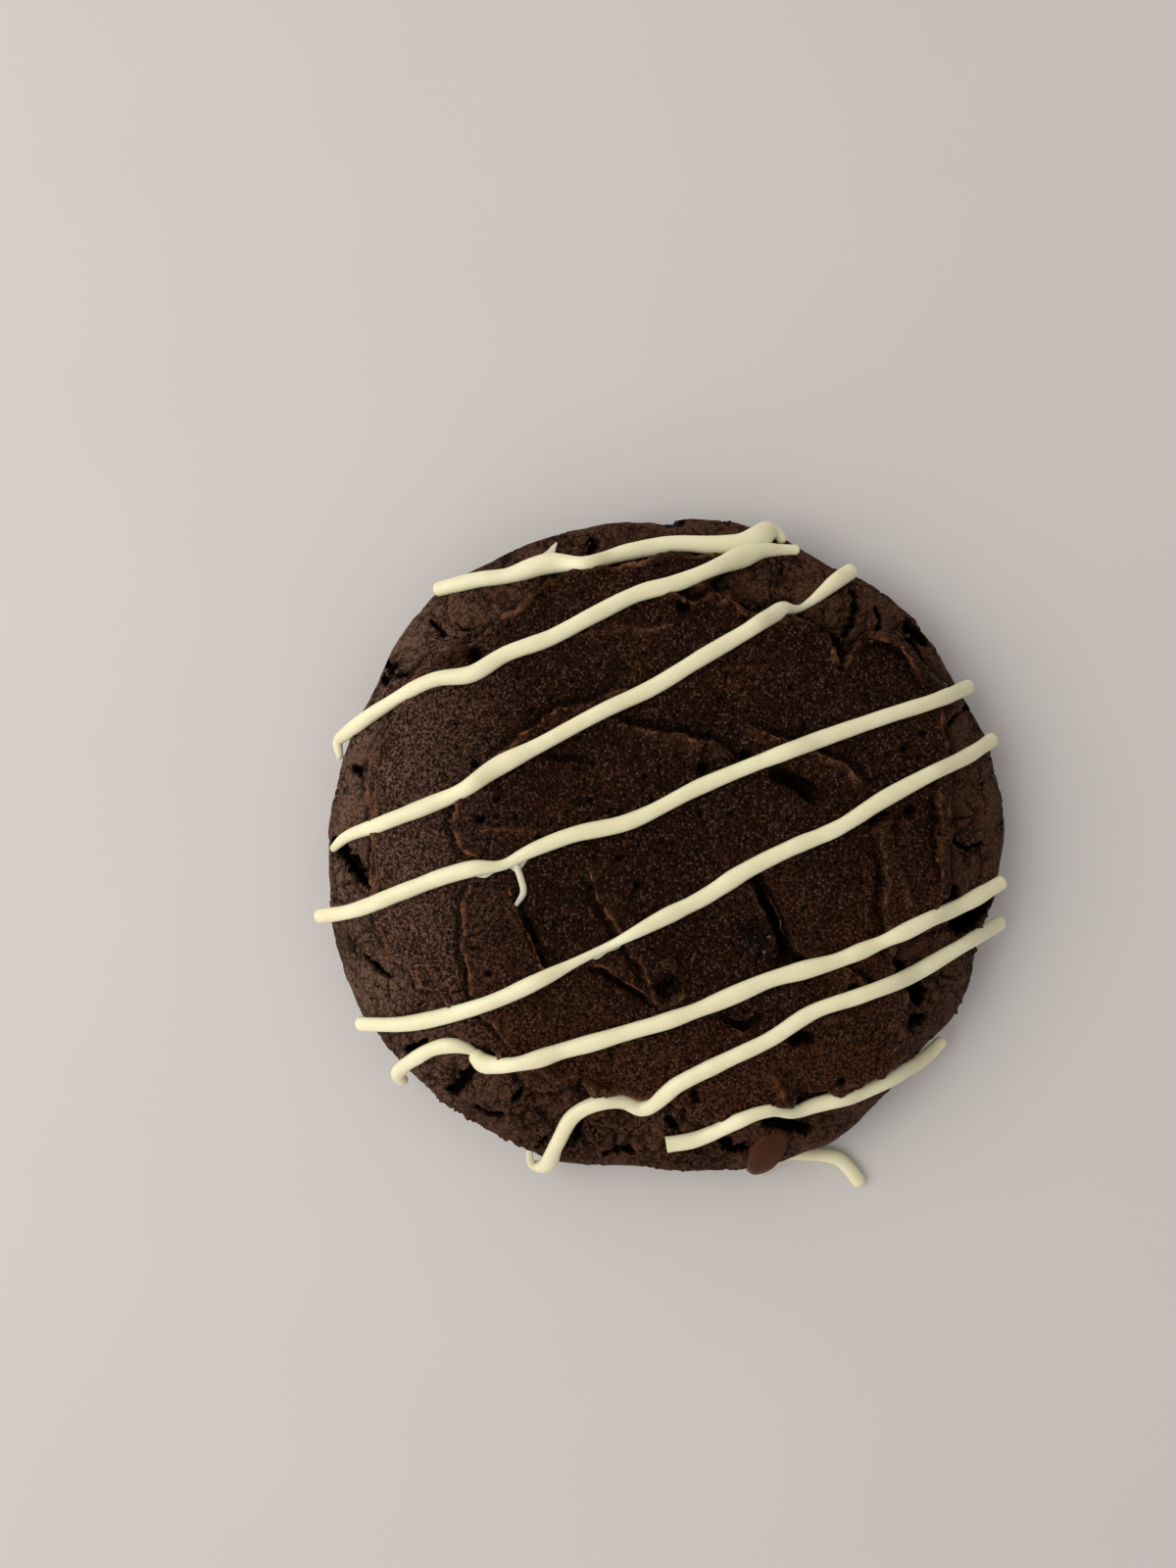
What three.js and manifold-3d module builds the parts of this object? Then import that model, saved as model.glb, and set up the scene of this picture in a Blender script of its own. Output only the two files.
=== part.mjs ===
// A mud cake cookie: a domed chocolate cookie with a flat underside, knife-spread dark frosting that
// leaves a band of crust bare, and a zigzag of white chocolate that was cut apart where it crossed
// the rim. Millimetres, +Z up, the origin in the middle of the flat underside.
import * as THREE from 'three';
import { mergeVertices } from 'three/addons/utils/BufferGeometryUtils.js';
import Module from 'manifold-3d';

const wasm = await Module();
wasm.setup();

// ---- Driving dimensions of the cookie ----
const COOKIE_RADIUS = 43.6;
const WIDEST_HEIGHT = 5.5;
const DOME_RISE = 10;
const DOME_SQUARENESS = 3.4; // how far the top stays level before it turns down
const DOME_ROUNDNESS = 2.2; // how full the shoulder is
const FOOT_INSET = 2.8; // how far the flat underside stays inside the widest line
const OVERHANG_DROP = 1; // how steeply a thing past the rim hangs down
const DEEPEST_DROP = 2.5;

// ---- Driving dimensions of the frosting and the chocolate ----
const GAP = 0.3; // kept between pieces that rest on each other
const FROSTING_MIDDLE = 2.7; // thickness in the middle
const FROSTING_BORDER = 1.9; // thickness just inside its edge
const FROSTING_WALL = 0.75; // height of the edge itself
const FROSTING_ROUNDING = 2.4; // width over which the edge rounds over
const LUMP_HEIGHT = 0.2; // unevenness of the spread
const LUMP_SIZE = 3.2;
const STRAND_WIDTH = 1.95;
const STRAND_FLATTENING = 0.72; // height of a strand over its width
const STRAND_STEP = 3; // length of strand between two rings
const END_SIZE = 0.6; // the rounding ring before an end, over the strand's size
const END_REACH = 0.35; // how far it stands out, over the strand's width
const PICTURE_UNIT = 0.12; // a picture unit at the height of the strands
const DRIP_THICKNESS = 1.1;

// ---- Facets ----
const COOKIE_SIDES = 72;
const FROSTING_SIDES = 108;
const STRAND_SIDES = 6;
const DRIP_SIDES = 16;

// ---- Colours and finishes ----
const CRUST = { color: '#4a3228', roughness: 0.9 };
const FROSTING = { color: '#2a1710', roughness: 0.62 };
const WHITE_CHOCOLATE = { color: '#ded8b4', roughness: 0.42 };
const MILK_CHOCOLATE = { color: '#4b2d1c', roughness: 0.45 };

// Places on the cookie are written as they are seen from straight above, in picture units: the eye is
// at EYE, and a unit is one FOCAL_UNITS-th of the distance below it.
const EYE = new THREE.Vector3(-10.2, 8.2, 155);
const FOCAL_UNITS = 1155.6;
const PICTURE_MIDDLE = new THREE.Vector2(600, 800);
const SIGHT_ROUNDS = 40; // corrections until a line of sight meets its surface

// ---- Outline of the cookie: bulges and dents by angle, in degrees from +X, and finer ripples ----
const RIM_WAVES = [
  { at: 8, spread: 20, out: 0.7 },
  { at: 62, spread: 7, out: -0.9 },
  { at: 93, spread: 10, out: -1.1 },
  { at: 135, spread: 11, out: 1.2 },
  { at: 204, spread: 26, out: 1.7 },
  { at: 265, spread: 13, out: -1.4 },
  { at: 299, spread: 9, out: 0.7 },
  { at: 320, spread: 6, out: -0.9 },
  { at: 345, spread: 6, out: -1.0 },
];
const RIM_RIPPLES = [{ count: 9, out: 0.12 }, { count: 23, out: 0.1 }];

// ---- Outline of the frosting, clockwise from the top left, in picture units ----
const FROSTING_EDGE = [
  [572, 583], [600, 580], [630, 580], [655, 573], [690, 565], [736, 567], [744, 580], [722, 597],
  [735, 610], [752, 617], [772, 630], [796, 633], [820, 631], [836, 641], [846, 655], [858, 675],
  [866, 664], [878, 651], [900, 650], [926, 660], [940, 682], [955, 690], [968, 699], [962, 714],
  [960, 735], [966, 770], [967, 818], [968, 845], [965, 880], [964, 912], [945, 948], [912, 957],
  [909, 975], [912, 990], [924, 1016], [924, 1046], [928, 1062], [924, 1074], [901, 1095], [878, 1106],
  [855, 1113], [838, 1111], [811, 1120], [808, 1136], [799, 1127], [781, 1131], [758, 1141], [739, 1145],
  [716, 1146], [700, 1141], [697, 1128], [680, 1122], [655, 1121], [637, 1116], [602, 1117], [591, 1101],
  [554, 1115], [538, 1108], [526, 1096], [515, 1082], [490, 1066], [478, 1062], [462, 1048], [458, 1030],
  [448, 1012], [426, 1006], [420, 988], [397, 976], [386, 951], [382, 935], [380, 880], [380, 828],
  [374, 788], [381, 763], [401, 731], [411, 715], [422, 690], [440, 672], [480, 655], [528, 622],
];

// ---- Knife strokes: the frosting is higher on the left of each line as it runs ----
const KNIFE_STROKES = [
  { step: 0.75, reach: 9, line: [[489, 800], [461, 844], [480, 896], [473, 952], [481, 1018], [519, 1066]] },
  { step: 0.5, reach: 6, line: [[553, 985], [545, 969], [528, 928], [520, 905]] },
  { step: 0.5, reach: 7, line: [[596, 885], [621, 932], [641, 969], [660, 999], [668, 1020]] },
  { step: 0.6, reach: 6, line: [[779, 632], [746, 615], [709, 611], [674, 602]] },
  { step: 0.45, reach: 7, line: [[640, 702], [602, 715], [549, 738], [495, 778]] },
  { step: 0.5, reach: 6, line: [[898, 856], [903, 896], [901, 926], [910, 979], [911, 1000]] },
  { step: 0.5, reach: 6, line: [[900, 815], [861, 779], [808, 758], [752, 738]] },
];

// ---- Dents, seen from above: place, length and width in mm, depth, and the turn of the length ----
const CRUST_DENTS = [
  { place: [991, 939], length: 6.4, width: 3.2, depth: 4.2, turn: 24 },
  { place: [935, 1013], length: 3.6, width: 2.4, depth: 2.2, turn: 70 },
  { place: [934, 1041], length: 2.6, width: 2.2, depth: 1.8, turn: 30 },
  { place: [751, 1171], length: 3.0, width: 2.6, depth: 1.6, turn: 10 },
  { place: [806, 1149], length: 5.6, width: 1.9, depth: 1.8, turn: -12 },
  { place: [364, 884], length: 4.6, width: 1.7, depth: 1.8, turn: -42 },
  { place: [471, 1103], length: 4.4, width: 1.4, depth: 1.6, turn: 40 },
  { place: [679, 537], length: 3.2, width: 2.6, depth: 3.0, turn: 0 },
  { place: [928, 646], length: 3.4, width: 2.2, depth: 3.2, turn: 30 },
];
const FROSTING_DENTS = [
  { place: [484, 668], length: 2.2, width: 1.6, depth: 1.0, turn: 70 },
  { place: [811, 799], length: 7.0, width: 1.6, depth: 1.3, turn: -26 },
  { place: [788, 940], length: 12, width: 1.8, depth: 1.6, turn: -62 },
  { place: [681, 1004], length: 4.6, width: 2.8, depth: 1.9, turn: -65 },
  { place: [820, 1060], length: 4.0, width: 1.8, depth: 1.6, turn: 14 },
  { place: [898, 836], length: 2.4, width: 1.6, depth: 1.4, turn: 10 },
];

// ---- White chocolate: routes in picture units, with a width in mm where it isn't the usual one ----
const TOP_STRAND = [
  [448, 601], [491, 591], [515, 588], [561, 575, 2.7], [595, 575], [642, 563], [693, 555, 2.1],
  [737, 558, 2.2], [758, 554, 2.5], [778, 541, 2.6], [795, 547, 1.5],
];
const SECOND_STRAND = [
  [347, 772, 0.9], [345, 757, 1.4], [358, 745], [392, 721], [445, 693], [480, 688, 2.1], [515, 668],
  [561, 651], [607, 627], [653, 605], [690, 595], [739, 574], [774, 562, 1.5], [811, 560, 1.5],
];
const SEPARATE_STRANDS = {
  white_chocolate_strand_3: [
    [340, 866, 0.9], [348, 858, 1.3], [388, 841, 1.8], [434, 823], [471, 807], [503, 785, 2.2], [549, 761],
    [618, 724], [665, 702], [716, 671], [762, 644], [786, 628], [804, 622, 1.5], [827, 615, 1.5],
    [850, 595, 2.2], [868, 583, 2.2],
  ],
  white_chocolate_strand_5: [
    [368, 1045], [411, 1045], [457, 1036], [503, 1022], [549, 1001], [595, 978, 1.1], [630, 961, 1.2],
    [676, 937, 2.2], [716, 917, 2.1], [762, 888, 2.1], [808, 865], [855, 845], [901, 816], [947, 791],
    [993, 768], [1012, 755],
  ],
  white_chocolate_strand_6: [
    [410, 1103], [407, 1094], [422, 1082], [455, 1067], [478, 1071], [501, 1087], [526, 1086], [572, 1073],
    [642, 1053], [716, 1029], [785, 1000], [855, 980], [901, 961, 1.4], [947, 939], [981, 924], [1021, 901],
  ],
  white_chocolate_strand_7: [
    [540, 1174, 0.9], [543, 1188, 1.2], [555, 1190], [568, 1168], [586, 1138], [606, 1127], [637, 1124],
    [653, 1131], [693, 1106], [739, 1083], [785, 1061], [831, 1032], [878, 1016], [924, 998], [970, 972],
    [1020, 942],
  ],
  white_chocolate_strand_8: [
    [680, 1168], [705, 1164], [751, 1145], [774, 1136, 1.6], [790, 1133, 1.4], [808, 1135, 1.5],
    [831, 1128], [878, 1115], [924, 1092], [947, 1076], [960, 1063, 1.6],
  ],
};
const FOURTH_STRAND = [
  [326, 935], [353, 931], [411, 910], [457, 893], [484, 886], [512, 883, 1.4], [538, 870, 1.8], [584, 855],
  [637, 840], [716, 802], [808, 765], [901, 732], [970, 709], [988, 701],
];
const FOURTH_STRAND_DRIP = [[526, 881, 1.0], [531, 895, 1.0], [534, 911, 0.9], [526, 923, 0.8]];

// The last stretch of the zigzag missed the top and lies low against the foot of the cookie.
const LOW_STRAND_HEIGHT = 0.95;
const LOW_STRAND = [[783, 1193, 1.0], [792, 1181, 1.6], [827, 1177], [861, 1185], [867, 1194], [876, 1205]];

// ---- The drip of milk chocolate that runs over the rim: middle, half width and lowest point ----
const DRIP_PLACE = [778, 1172];
const DRIP_HALF_WIDTH = 2.5;
const DRIP_LOW = 2.0;
const DRIP_HIGH = 9.8;

const radians = THREE.MathUtils.degToRad;

function angleBetween(first, second) {
  const difference = Math.abs(first - second) % 360;
  return Math.min(difference, 360 - difference);
}

// Rim radius at an angle: a circle with the named bulges and dents, and the ripples.
function rimRadius(angle) {
  const degrees = THREE.MathUtils.radToDeg(angle);
  let radius = COOKIE_RADIUS;
  for (const wave of RIM_WAVES) {
    const distance = angleBetween(degrees, wave.at) / wave.spread;
    radius += wave.out * Math.exp(-distance * distance);
  }
  for (const ripple of RIM_RIPPLES) {
    radius += ripple.out * Math.sin(ripple.count * angle);
  }
  return radius;
}

// Broad hills, and smaller ones across them, over the frosting.
function lumps(x, y) {
  const hills = Math.sin(x / LUMP_SIZE + 1.3) * Math.cos(y / LUMP_SIZE - 0.4);
  const smallHills = 0.5 * Math.sin((2 * (x - y)) / LUMP_SIZE);
  return LUMP_HEIGHT * (hills + smallHills);
}

// Height of the crust, or of a dome swollen by a thickness. Past the rim it gives how low a thing hangs.
function domeHeight(x, y, swelling = 0) {
  const radius = Math.hypot(x, y);
  const rim = rimRadius(Math.atan2(y, x)) + swelling;
  if (radius >= rim) return WIDEST_HEIGHT - Math.min(OVERHANG_DROP * (radius - rim), DEEPEST_DROP);
  const fullness = (1 - (radius / rim) ** DOME_SQUARENESS) ** (1 / DOME_ROUNDNESS);
  return WIDEST_HEIGHT + (DOME_RISE + swelling) * fullness;
}

// Follows the line of sight through a place in the picture down to a surface.
function placeOn(surface, [across, down]) {
  const point = new THREE.Vector3();
  let height = WIDEST_HEIGHT + DOME_RISE;
  for (let round = 0; round < SIGHT_ROUNDS; round += 1) {
    const scale = (EYE.z - height) / FOCAL_UNITS;
    point.x = EYE.x + (across - PICTURE_MIDDLE.x) * scale;
    point.y = EYE.y - (down - PICTURE_MIDDLE.y) * scale;
    point.z = height;
    height = 0.5 * (height + surface(point.x, point.y));
  }
  return point;
}

const frostingEdge = FROSTING_EDGE.map((place) => {
  const point = placeOn(domeHeight, place);
  return { angle: Math.atan2(point.y, point.x), radius: Math.hypot(point.x, point.y) };
}).sort((first, second) => first.angle - second.angle);

// Radius of the frosting's edge at an angle, on the straight line between its two nearest corners.
function frostingRadius(angle) {
  const count = frostingEdge.length;
  const found = frostingEdge.findIndex((corner) => corner.angle >= angle);
  const index = found < 0 ? 0 : found;
  const after = frostingEdge[index];
  const before = frostingEdge[(index + count - 1) % count];
  const span = (after.angle - before.angle + 2 * Math.PI) % (2 * Math.PI);
  const share = ((angle - before.angle + 2 * Math.PI) % (2 * Math.PI)) / Math.max(span, 1e-6);
  return THREE.MathUtils.lerp(before.radius, after.radius, Math.min(share, 1));
}

const knifeStrokes = KNIFE_STROKES.map((stroke) => ({
  ...stroke,
  line: stroke.line.map((place) => placeOn((x, y) => domeHeight(x, y) + FROSTING_MIDDLE, place)),
}));

// The step that one knife stroke leaves: full at its line, fading over its reach and towards its ends.
function strokeStep({ line, step, reach }, x, y) {
  let nearest = Infinity;
  let height = 0;
  for (let index = 0; index + 1 < line.length; index += 1) {
    const [start, end] = [line[index], line[index + 1]];
    const along = new THREE.Vector2(end.x - start.x, end.y - start.y);
    const offset = new THREE.Vector2(x - start.x, y - start.y);
    const share = THREE.MathUtils.clamp(offset.dot(along) / along.lengthSq(), 0, 1);
    const distance = Math.hypot(offset.x - share * along.x, offset.y - share * along.y);
    if (distance < nearest) {
      nearest = distance;
      const onLeft = along.x * offset.y - along.y * offset.x > 0;
      const progress = (index + share) / (line.length - 1);
      height = onLeft ? step * Math.exp(-distance / reach) * Math.sin(Math.PI * progress) ** 0.5 : 0;
    }
  }
  return height;
}

function frostingThickness(x, y) {
  const radius = Math.hypot(x, y);
  const edge = frostingRadius(Math.atan2(y, x));
  const inside = THREE.MathUtils.clamp((edge - radius) / FROSTING_ROUNDING, 0, 1);
  const body = THREE.MathUtils.lerp(FROSTING_MIDDLE, FROSTING_BORDER, Math.min(radius / edge, 1) ** 2);
  const relief = knifeStrokes.reduce((sum, stroke) => sum + strokeStep(stroke, x, y), lumps(x, y));
  return THREE.MathUtils.lerp(FROSTING_WALL, body + relief, Math.sqrt(inside * (2 - inside)));
}

function frostingTop(x, y) {
  const covered = Math.hypot(x, y) < frostingRadius(Math.atan2(y, x));
  return domeHeight(x, y) + (covered ? frostingThickness(x, y) : 0);
}

// Joins rings of equally many points into one closed skin, with a fan on the first and the last ring.
function closedSkin(rings) {
  const count = rings[0].length;
  const positions = rings.flat().flatMap((point) => [point.x, point.y, point.z]);
  const faces = [];
  for (let ring = 0; ring + 1 < rings.length; ring += 1) {
    for (let side = 0; side < count; side += 1) {
      const next = (side + 1) % count;
      const [a, b] = [ring * count + side, ring * count + next];
      const [c, d] = [a + count, b + count];
      faces.push(a, b, d, a, d, c);
    }
  }
  for (const [ring, turned] of [[0, true], [rings.length - 1, false]]) {
    const sum = rings[ring].reduce((total, point) => total.add(point), new THREE.Vector3());
    const middle = sum.divideScalar(count);
    const centre = positions.length / 3;
    positions.push(middle.x, middle.y, middle.z);
    for (let side = 0; side < count; side += 1) {
      const [first, second] = [ring * count + side, ring * count + ((side + 1) % count)];
      faces.push(centre, ...(turned ? [second, first] : [first, second]));
    }
  }
  const geometry = new THREE.BufferGeometry();
  geometry.setAttribute('position', new THREE.Float32BufferAttribute(positions, 3));
  geometry.setIndex(faces);
  return geometry;
}

function ringAround(sides, pointAt) {
  return Array.from({ length: sides }, (_, side) => pointAt((2 * Math.PI * side) / sides - Math.PI));
}

// ---- Booleans ----
function toManifold(geometry) {
  const bare = geometry.clone();
  bare.deleteAttribute('normal');
  bare.deleteAttribute('uv');
  const merged = mergeVertices(bare, 1e-4);
  const vertProperties = new Float32Array(merged.attributes.position.array);
  const triVerts = new Uint32Array(merged.index.array);
  return new wasm.Manifold(new wasm.Mesh({ numProp: 3, vertProperties, triVerts }));
}

function fromManifold(solid) {
  const mesh = solid.getMesh();
  const geometry = new THREE.BufferGeometry();
  geometry.setAttribute('position', new THREE.Float32BufferAttribute(mesh.vertProperties, 3));
  geometry.setIndex([...mesh.triVerts]);
  return geometry;
}

// Scoops dents out of a body, each a low ellipsoid that is set into the given surface.
function withDents(geometry, dents, surface) {
  let solid = toManifold(geometry);
  for (const dent of dents) {
    const scoop = new THREE.OctahedronGeometry(1, 1);
    scoop.scale(dent.length / 2, dent.width / 2, dent.depth);
    scoop.rotateZ(radians(dent.turn));
    const place = placeOn(surface, dent.place);
    scoop.translate(place.x, place.y, place.z);
    solid = solid.subtract(toManifold(scoop));
  }
  return fromManifold(solid);
}

// ---- The cookie ----
function cookieGeometry() {
  const footRings = [0, 30, 55, 75].map((degrees) => ringAround(COOKIE_SIDES, (angle) => {
    const radius = rimRadius(angle) - FOOT_INSET * (1 - Math.sin(radians(degrees)));
    const height = WIDEST_HEIGHT * (1 - Math.cos(radians(degrees)));
    return new THREE.Vector3(radius * Math.cos(angle), radius * Math.sin(angle), height);
  }));
  const domeRings = [1, 0.985, 0.955, 0.91, 0.84, 0.74, 0.56, 0.3].map((share) => (
    ringAround(COOKIE_SIDES, (angle) => {
      const radius = share * rimRadius(angle);
      const [x, y] = [radius * Math.cos(angle), radius * Math.sin(angle)];
      return new THREE.Vector3(x, y, domeHeight(x, y));
    })
  ));
  return withDents(closedSkin([...footRings, ...domeRings]), CRUST_DENTS, domeHeight);
}

// ---- The frosting ----
function frostingGeometry() {
  const ringAt = (share, inset, surface) => ringAround(FROSTING_SIDES, (angle) => {
    const radius = share * frostingRadius(angle) - inset;
    const [x, y] = [radius * Math.cos(angle), radius * Math.sin(angle)];
    return new THREE.Vector3(x, y, surface(x, y));
  });
  const underside = (x, y) => domeHeight(x, y, GAP);
  const topside = (x, y) => domeHeight(x, y) + frostingThickness(x, y);
  const underRings = [0.3, 0.55, 0.73, 0.86, 0.95, 1].map((share) => ringAt(share, 0, underside));
  const edgeRings = [0.02, 0.5, 1.3].map((inset) => ringAt(1, inset, topside));
  const topShares = [0.93, 0.86, 0.78, 0.69, 0.6, 0.5, 0.4, 0.28, 0.14];
  const topRings = topShares.map((share) => ringAt(share, 0, topside));
  return withDents(closedSkin([...underRings, ...edgeRings, ...topRings]), FROSTING_DENTS, frostingTop);
}

// ---- The strands ----
// Height at which the middle of a strand rests: on the highest ground near it.
function strandRest(x, y, width) {
  const above = 0.5 * width * STRAND_FLATTENING + GAP;
  const around = ringAround(8, (angle) => [0.8 * width * Math.cos(angle), 0.8 * width * Math.sin(angle)]);
  const grounds = around.map(([stepX, stepY]) => frostingTop(x + stepX, y + stepY));
  return above + Math.max(domeHeight(x, y, above) - above, frostingTop(x, y), ...grounds);
}

// The route as evenly spaced stations of a smooth line, each with its width.
function strandLine(route, restHeight) {
  const corners = route.map(([across, down, width = STRAND_WIDTH]) => new THREE.Vector3(across, down, width));
  const curve = new THREE.CatmullRomCurve3(corners, false, 'centripetal');
  const steps = Math.max(4, Math.round((curve.getLength() * PICTURE_UNIT) / STRAND_STEP));
  return curve.getSpacedPoints(steps).map(({ x: across, y: down, z: width }) => (
    { point: placeOn((x, y) => restHeight(x, y, width), [across, down]), width }
  ));
}

// A strand is flattened rings along its line, with a small ring before each end to round it.
function strandGeometry(route, restHeight = strandRest) {
  const line = strandLine(route, restHeight);
  const ring = (index, size, shift) => {
    const { point, width } = line[index];
    const before = line[Math.max(index - 1, 0)].point;
    const after = line[Math.min(index + 1, line.length - 1)].point;
    const tangent = new THREE.Vector3().subVectors(after, before).normalize();
    const across = new THREE.Vector3(-tangent.y, tangent.x, 0).normalize();
    const upward = new THREE.Vector3().crossVectors(tangent, across);
    const middle = point.clone().addScaledVector(tangent, shift * width);
    return ringAround(STRAND_SIDES, (angle) => middle.clone()
      .addScaledVector(across, 0.5 * size * width * Math.cos(angle))
      .addScaledVector(upward, 0.5 * size * width * STRAND_FLATTENING * Math.sin(angle)));
  };
  const start = ring(0, END_SIZE, -END_REACH);
  const end = ring(line.length - 1, END_SIZE, END_REACH);
  return closedSkin([start, ...line.map((_, index) => ring(index, 1, 0)), end]);
}

function joined(...geometries) {
  return fromManifold(geometries.map(toManifold).reduce((sum, solid) => sum.add(solid)));
}

// ---- The milk chocolate drip ----
// Radius of the cookie's side at an angle and a height, on either side of its widest line.
function sideRadius(angle, height) {
  const rim = rimRadius(angle);
  if (height < WIDEST_HEIGHT) {
    return rim - FOOT_INSET * (1 - Math.sqrt(1 - (1 - height / WIDEST_HEIGHT) ** 2));
  }
  const risen = Math.min((height - WIDEST_HEIGHT) / DOME_RISE, 1);
  return rim * (1 - risen ** DOME_ROUNDNESS) ** (1 / DOME_SQUARENESS);
}

function dripGeometry() {
  const place = placeOn(domeHeight, DRIP_PLACE);
  const middleAngle = Math.atan2(place.y, place.x);
  const [middleHeight, halfHeight] = [0.5 * (DRIP_HIGH + DRIP_LOW), 0.5 * (DRIP_HIGH - DRIP_LOW)];
  const ringAt = (share, standoff) => ringAround(DRIP_SIDES, (turn) => {
    const height = middleHeight + share * halfHeight * Math.sin(turn);
    const narrowing = 1 - 0.35 * Math.sin(turn) ** 2;
    const angle = middleAngle + (share * narrowing * DRIP_HALF_WIDTH * Math.cos(turn)) / COOKIE_RADIUS;
    const radius = sideRadius(angle, height) + standoff;
    const aboveRim = THREE.MathUtils.clamp((height - WIDEST_HEIGHT) / (DRIP_HIGH - WIDEST_HEIGHT), 0, 1);
    const lift = standoff * aboveRim;
    return new THREE.Vector3(radius * Math.cos(angle), radius * Math.sin(angle), height + lift);
  });
  const back = [0.5, 1].map((share) => ringAt(share, GAP + 0.15));
  const swell = [[1, 0.6], [0.8, 0.92], [0.45, 1]];
  const front = swell.map(([share, rise]) => ringAt(share, GAP + DRIP_THICKNESS * rise));
  return closedSkin([...back, ...front]);
}

// ---- Assembly ----
const part = new THREE.Group();

function addPiece(name, geometry, finish) {
  geometry.computeVertexNormals();
  const mesh = new THREE.Mesh(geometry, new THREE.MeshStandardMaterial({ ...finish, metalness: 0 }));
  mesh.name = name;
  part.add(mesh);
}

addPiece('cookie', cookieGeometry(), CRUST);
addPiece('frosting', frostingGeometry(), FROSTING);
const topPair = joined(strandGeometry(TOP_STRAND), strandGeometry(SECOND_STRAND));
const fourthWithDrip = joined(strandGeometry(FOURTH_STRAND), strandGeometry(FOURTH_STRAND_DRIP));
const lowStrand = strandGeometry(LOW_STRAND, () => LOW_STRAND_HEIGHT);

addPiece('white_chocolate_strands_1_2', topPair, WHITE_CHOCOLATE);
addPiece('white_chocolate_strand_4', fourthWithDrip, WHITE_CHOCOLATE);
for (const [name, route] of Object.entries(SEPARATE_STRANDS)) {
  addPiece(name, strandGeometry(route), WHITE_CHOCOLATE);
}
addPiece('white_chocolate_strand_9', lowStrand, WHITE_CHOCOLATE);
addPiece('milk_chocolate_drip', dripGeometry(), MILK_CHOCOLATE);

export default part;
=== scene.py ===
# %% [markdown]
# # A mud cake cookie with dark frosting and white chocolate
#
# The real thing is a thick chocolate cookie about 90 mm across. It was baked as a ball of dough that
# slumped into a dome with a flat underside. A knife spread dark frosting over most of it, and a zigzag
# of melted white chocolate was piped across. Its turns broke off at the rim.
#
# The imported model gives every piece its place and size. This lesson makes the surfaces that an eye
# expects of such food: crackled crust, torn frosting with knife marks, and glossy strands.

import itertools

import bmesh
import bpy
import numpy as np
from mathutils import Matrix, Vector


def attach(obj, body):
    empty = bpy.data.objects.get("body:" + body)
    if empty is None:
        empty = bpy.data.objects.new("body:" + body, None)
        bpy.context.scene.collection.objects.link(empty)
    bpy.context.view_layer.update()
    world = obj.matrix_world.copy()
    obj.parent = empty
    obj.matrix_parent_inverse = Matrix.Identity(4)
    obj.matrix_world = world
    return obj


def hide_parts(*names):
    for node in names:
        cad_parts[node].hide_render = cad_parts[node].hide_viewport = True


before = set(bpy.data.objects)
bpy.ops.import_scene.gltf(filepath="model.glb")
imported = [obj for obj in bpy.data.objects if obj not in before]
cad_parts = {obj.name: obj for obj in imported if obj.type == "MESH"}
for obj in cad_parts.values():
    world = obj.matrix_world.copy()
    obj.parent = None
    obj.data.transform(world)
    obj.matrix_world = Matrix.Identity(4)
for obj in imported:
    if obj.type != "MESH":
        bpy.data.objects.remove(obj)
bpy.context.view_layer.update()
MM = 0.001
BODY = "root"
print("CAD nodes:", ", ".join(sorted(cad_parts)))

# %% [markdown]
# ## The eye above the cookie
#
# The photograph looks straight down. Places on the cookie are written as they are seen, in picture
# units of a picture 1200 wide and 1600 high. One unit is a FOCAL_UNITS-th of the distance below the
# eye, so a place and a height give a point in millimetres. The camera stands at the same eye.

# %% The camera and its line of sight
EYE = np.array([-10.2, 8.2, 155.0])
FOCAL_UNITS = 1155.6
PICTURE_MIDDLE = np.array([600.0, 800.0])
PICTURE_HEIGHT = 1600
SENSOR = 36.0
SIGHT_ROUNDS = 40
USUAL_HEIGHT = 15.0  # of the food, where the search for a surface starts


def seen_at(places, heights):
    """The points, in mm from above, that lie at these heights on the lines of sight through places."""
    scale = (EYE[2] - np.asarray(heights, float)) / FOCAL_UNITS
    offset = (np.asarray(places, float) - PICTURE_MIDDLE) * [1, -1]
    return EYE[:2] + offset * np.reshape(scale, (-1, 1))


def place_on(surface, places):
    """Follows the lines of sight down to a surface, and gives points with their heights in mm."""
    heights = np.full(len(places), USUAL_HEIGHT)
    for _ in range(SIGHT_ROUNDS):
        points = seen_at(places, heights)
        heights = 0.5 * (heights + surface(points))
    return np.column_stack([points, heights])


def make_camera():
    data = bpy.data.cameras.new("camera")
    data.sensor_width = SENSOR
    data.lens = SENSOR * FOCAL_UNITS / PICTURE_HEIGHT
    data.clip_start = 0.01
    camera = bpy.data.objects.new("camera", data)
    camera.location = EYE * MM
    bpy.context.scene.collection.objects.link(camera)
    bpy.context.scene.camera = camera
    return camera


print("camera lens in mm:", round(make_camera().data.lens, 2))

# %% [markdown]
# ## Unevenness that repeats on every run
#
# Food is never smooth, so most shapes below are roughened by noise. Blender has noise textures, but a
# shape that is worked out for many thousand points at once is quicker in numpy. This noise gives each
# cell of a lattice a fixed value and blends between them, so that nothing changes between two runs.

# %% Noise, soft steps and smooth lines
CELL_FACTORS = np.array([73856093, 19349663, 83492791])
SEED_FACTOR = 1013904223
MIXING_FACTOR = 1274126177
MIXING_SHIFTS = (13, 16)
VALUE_MASK = 0xFFFFFF
SEED_OFFSET = 0.37  # cells by which each seed shifts the lattice
OCTAVE_TURN = np.array([[0.80, 0.60, 0.0], [-0.48, 0.64, 0.60], [0.36, -0.48, 0.80]])


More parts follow.
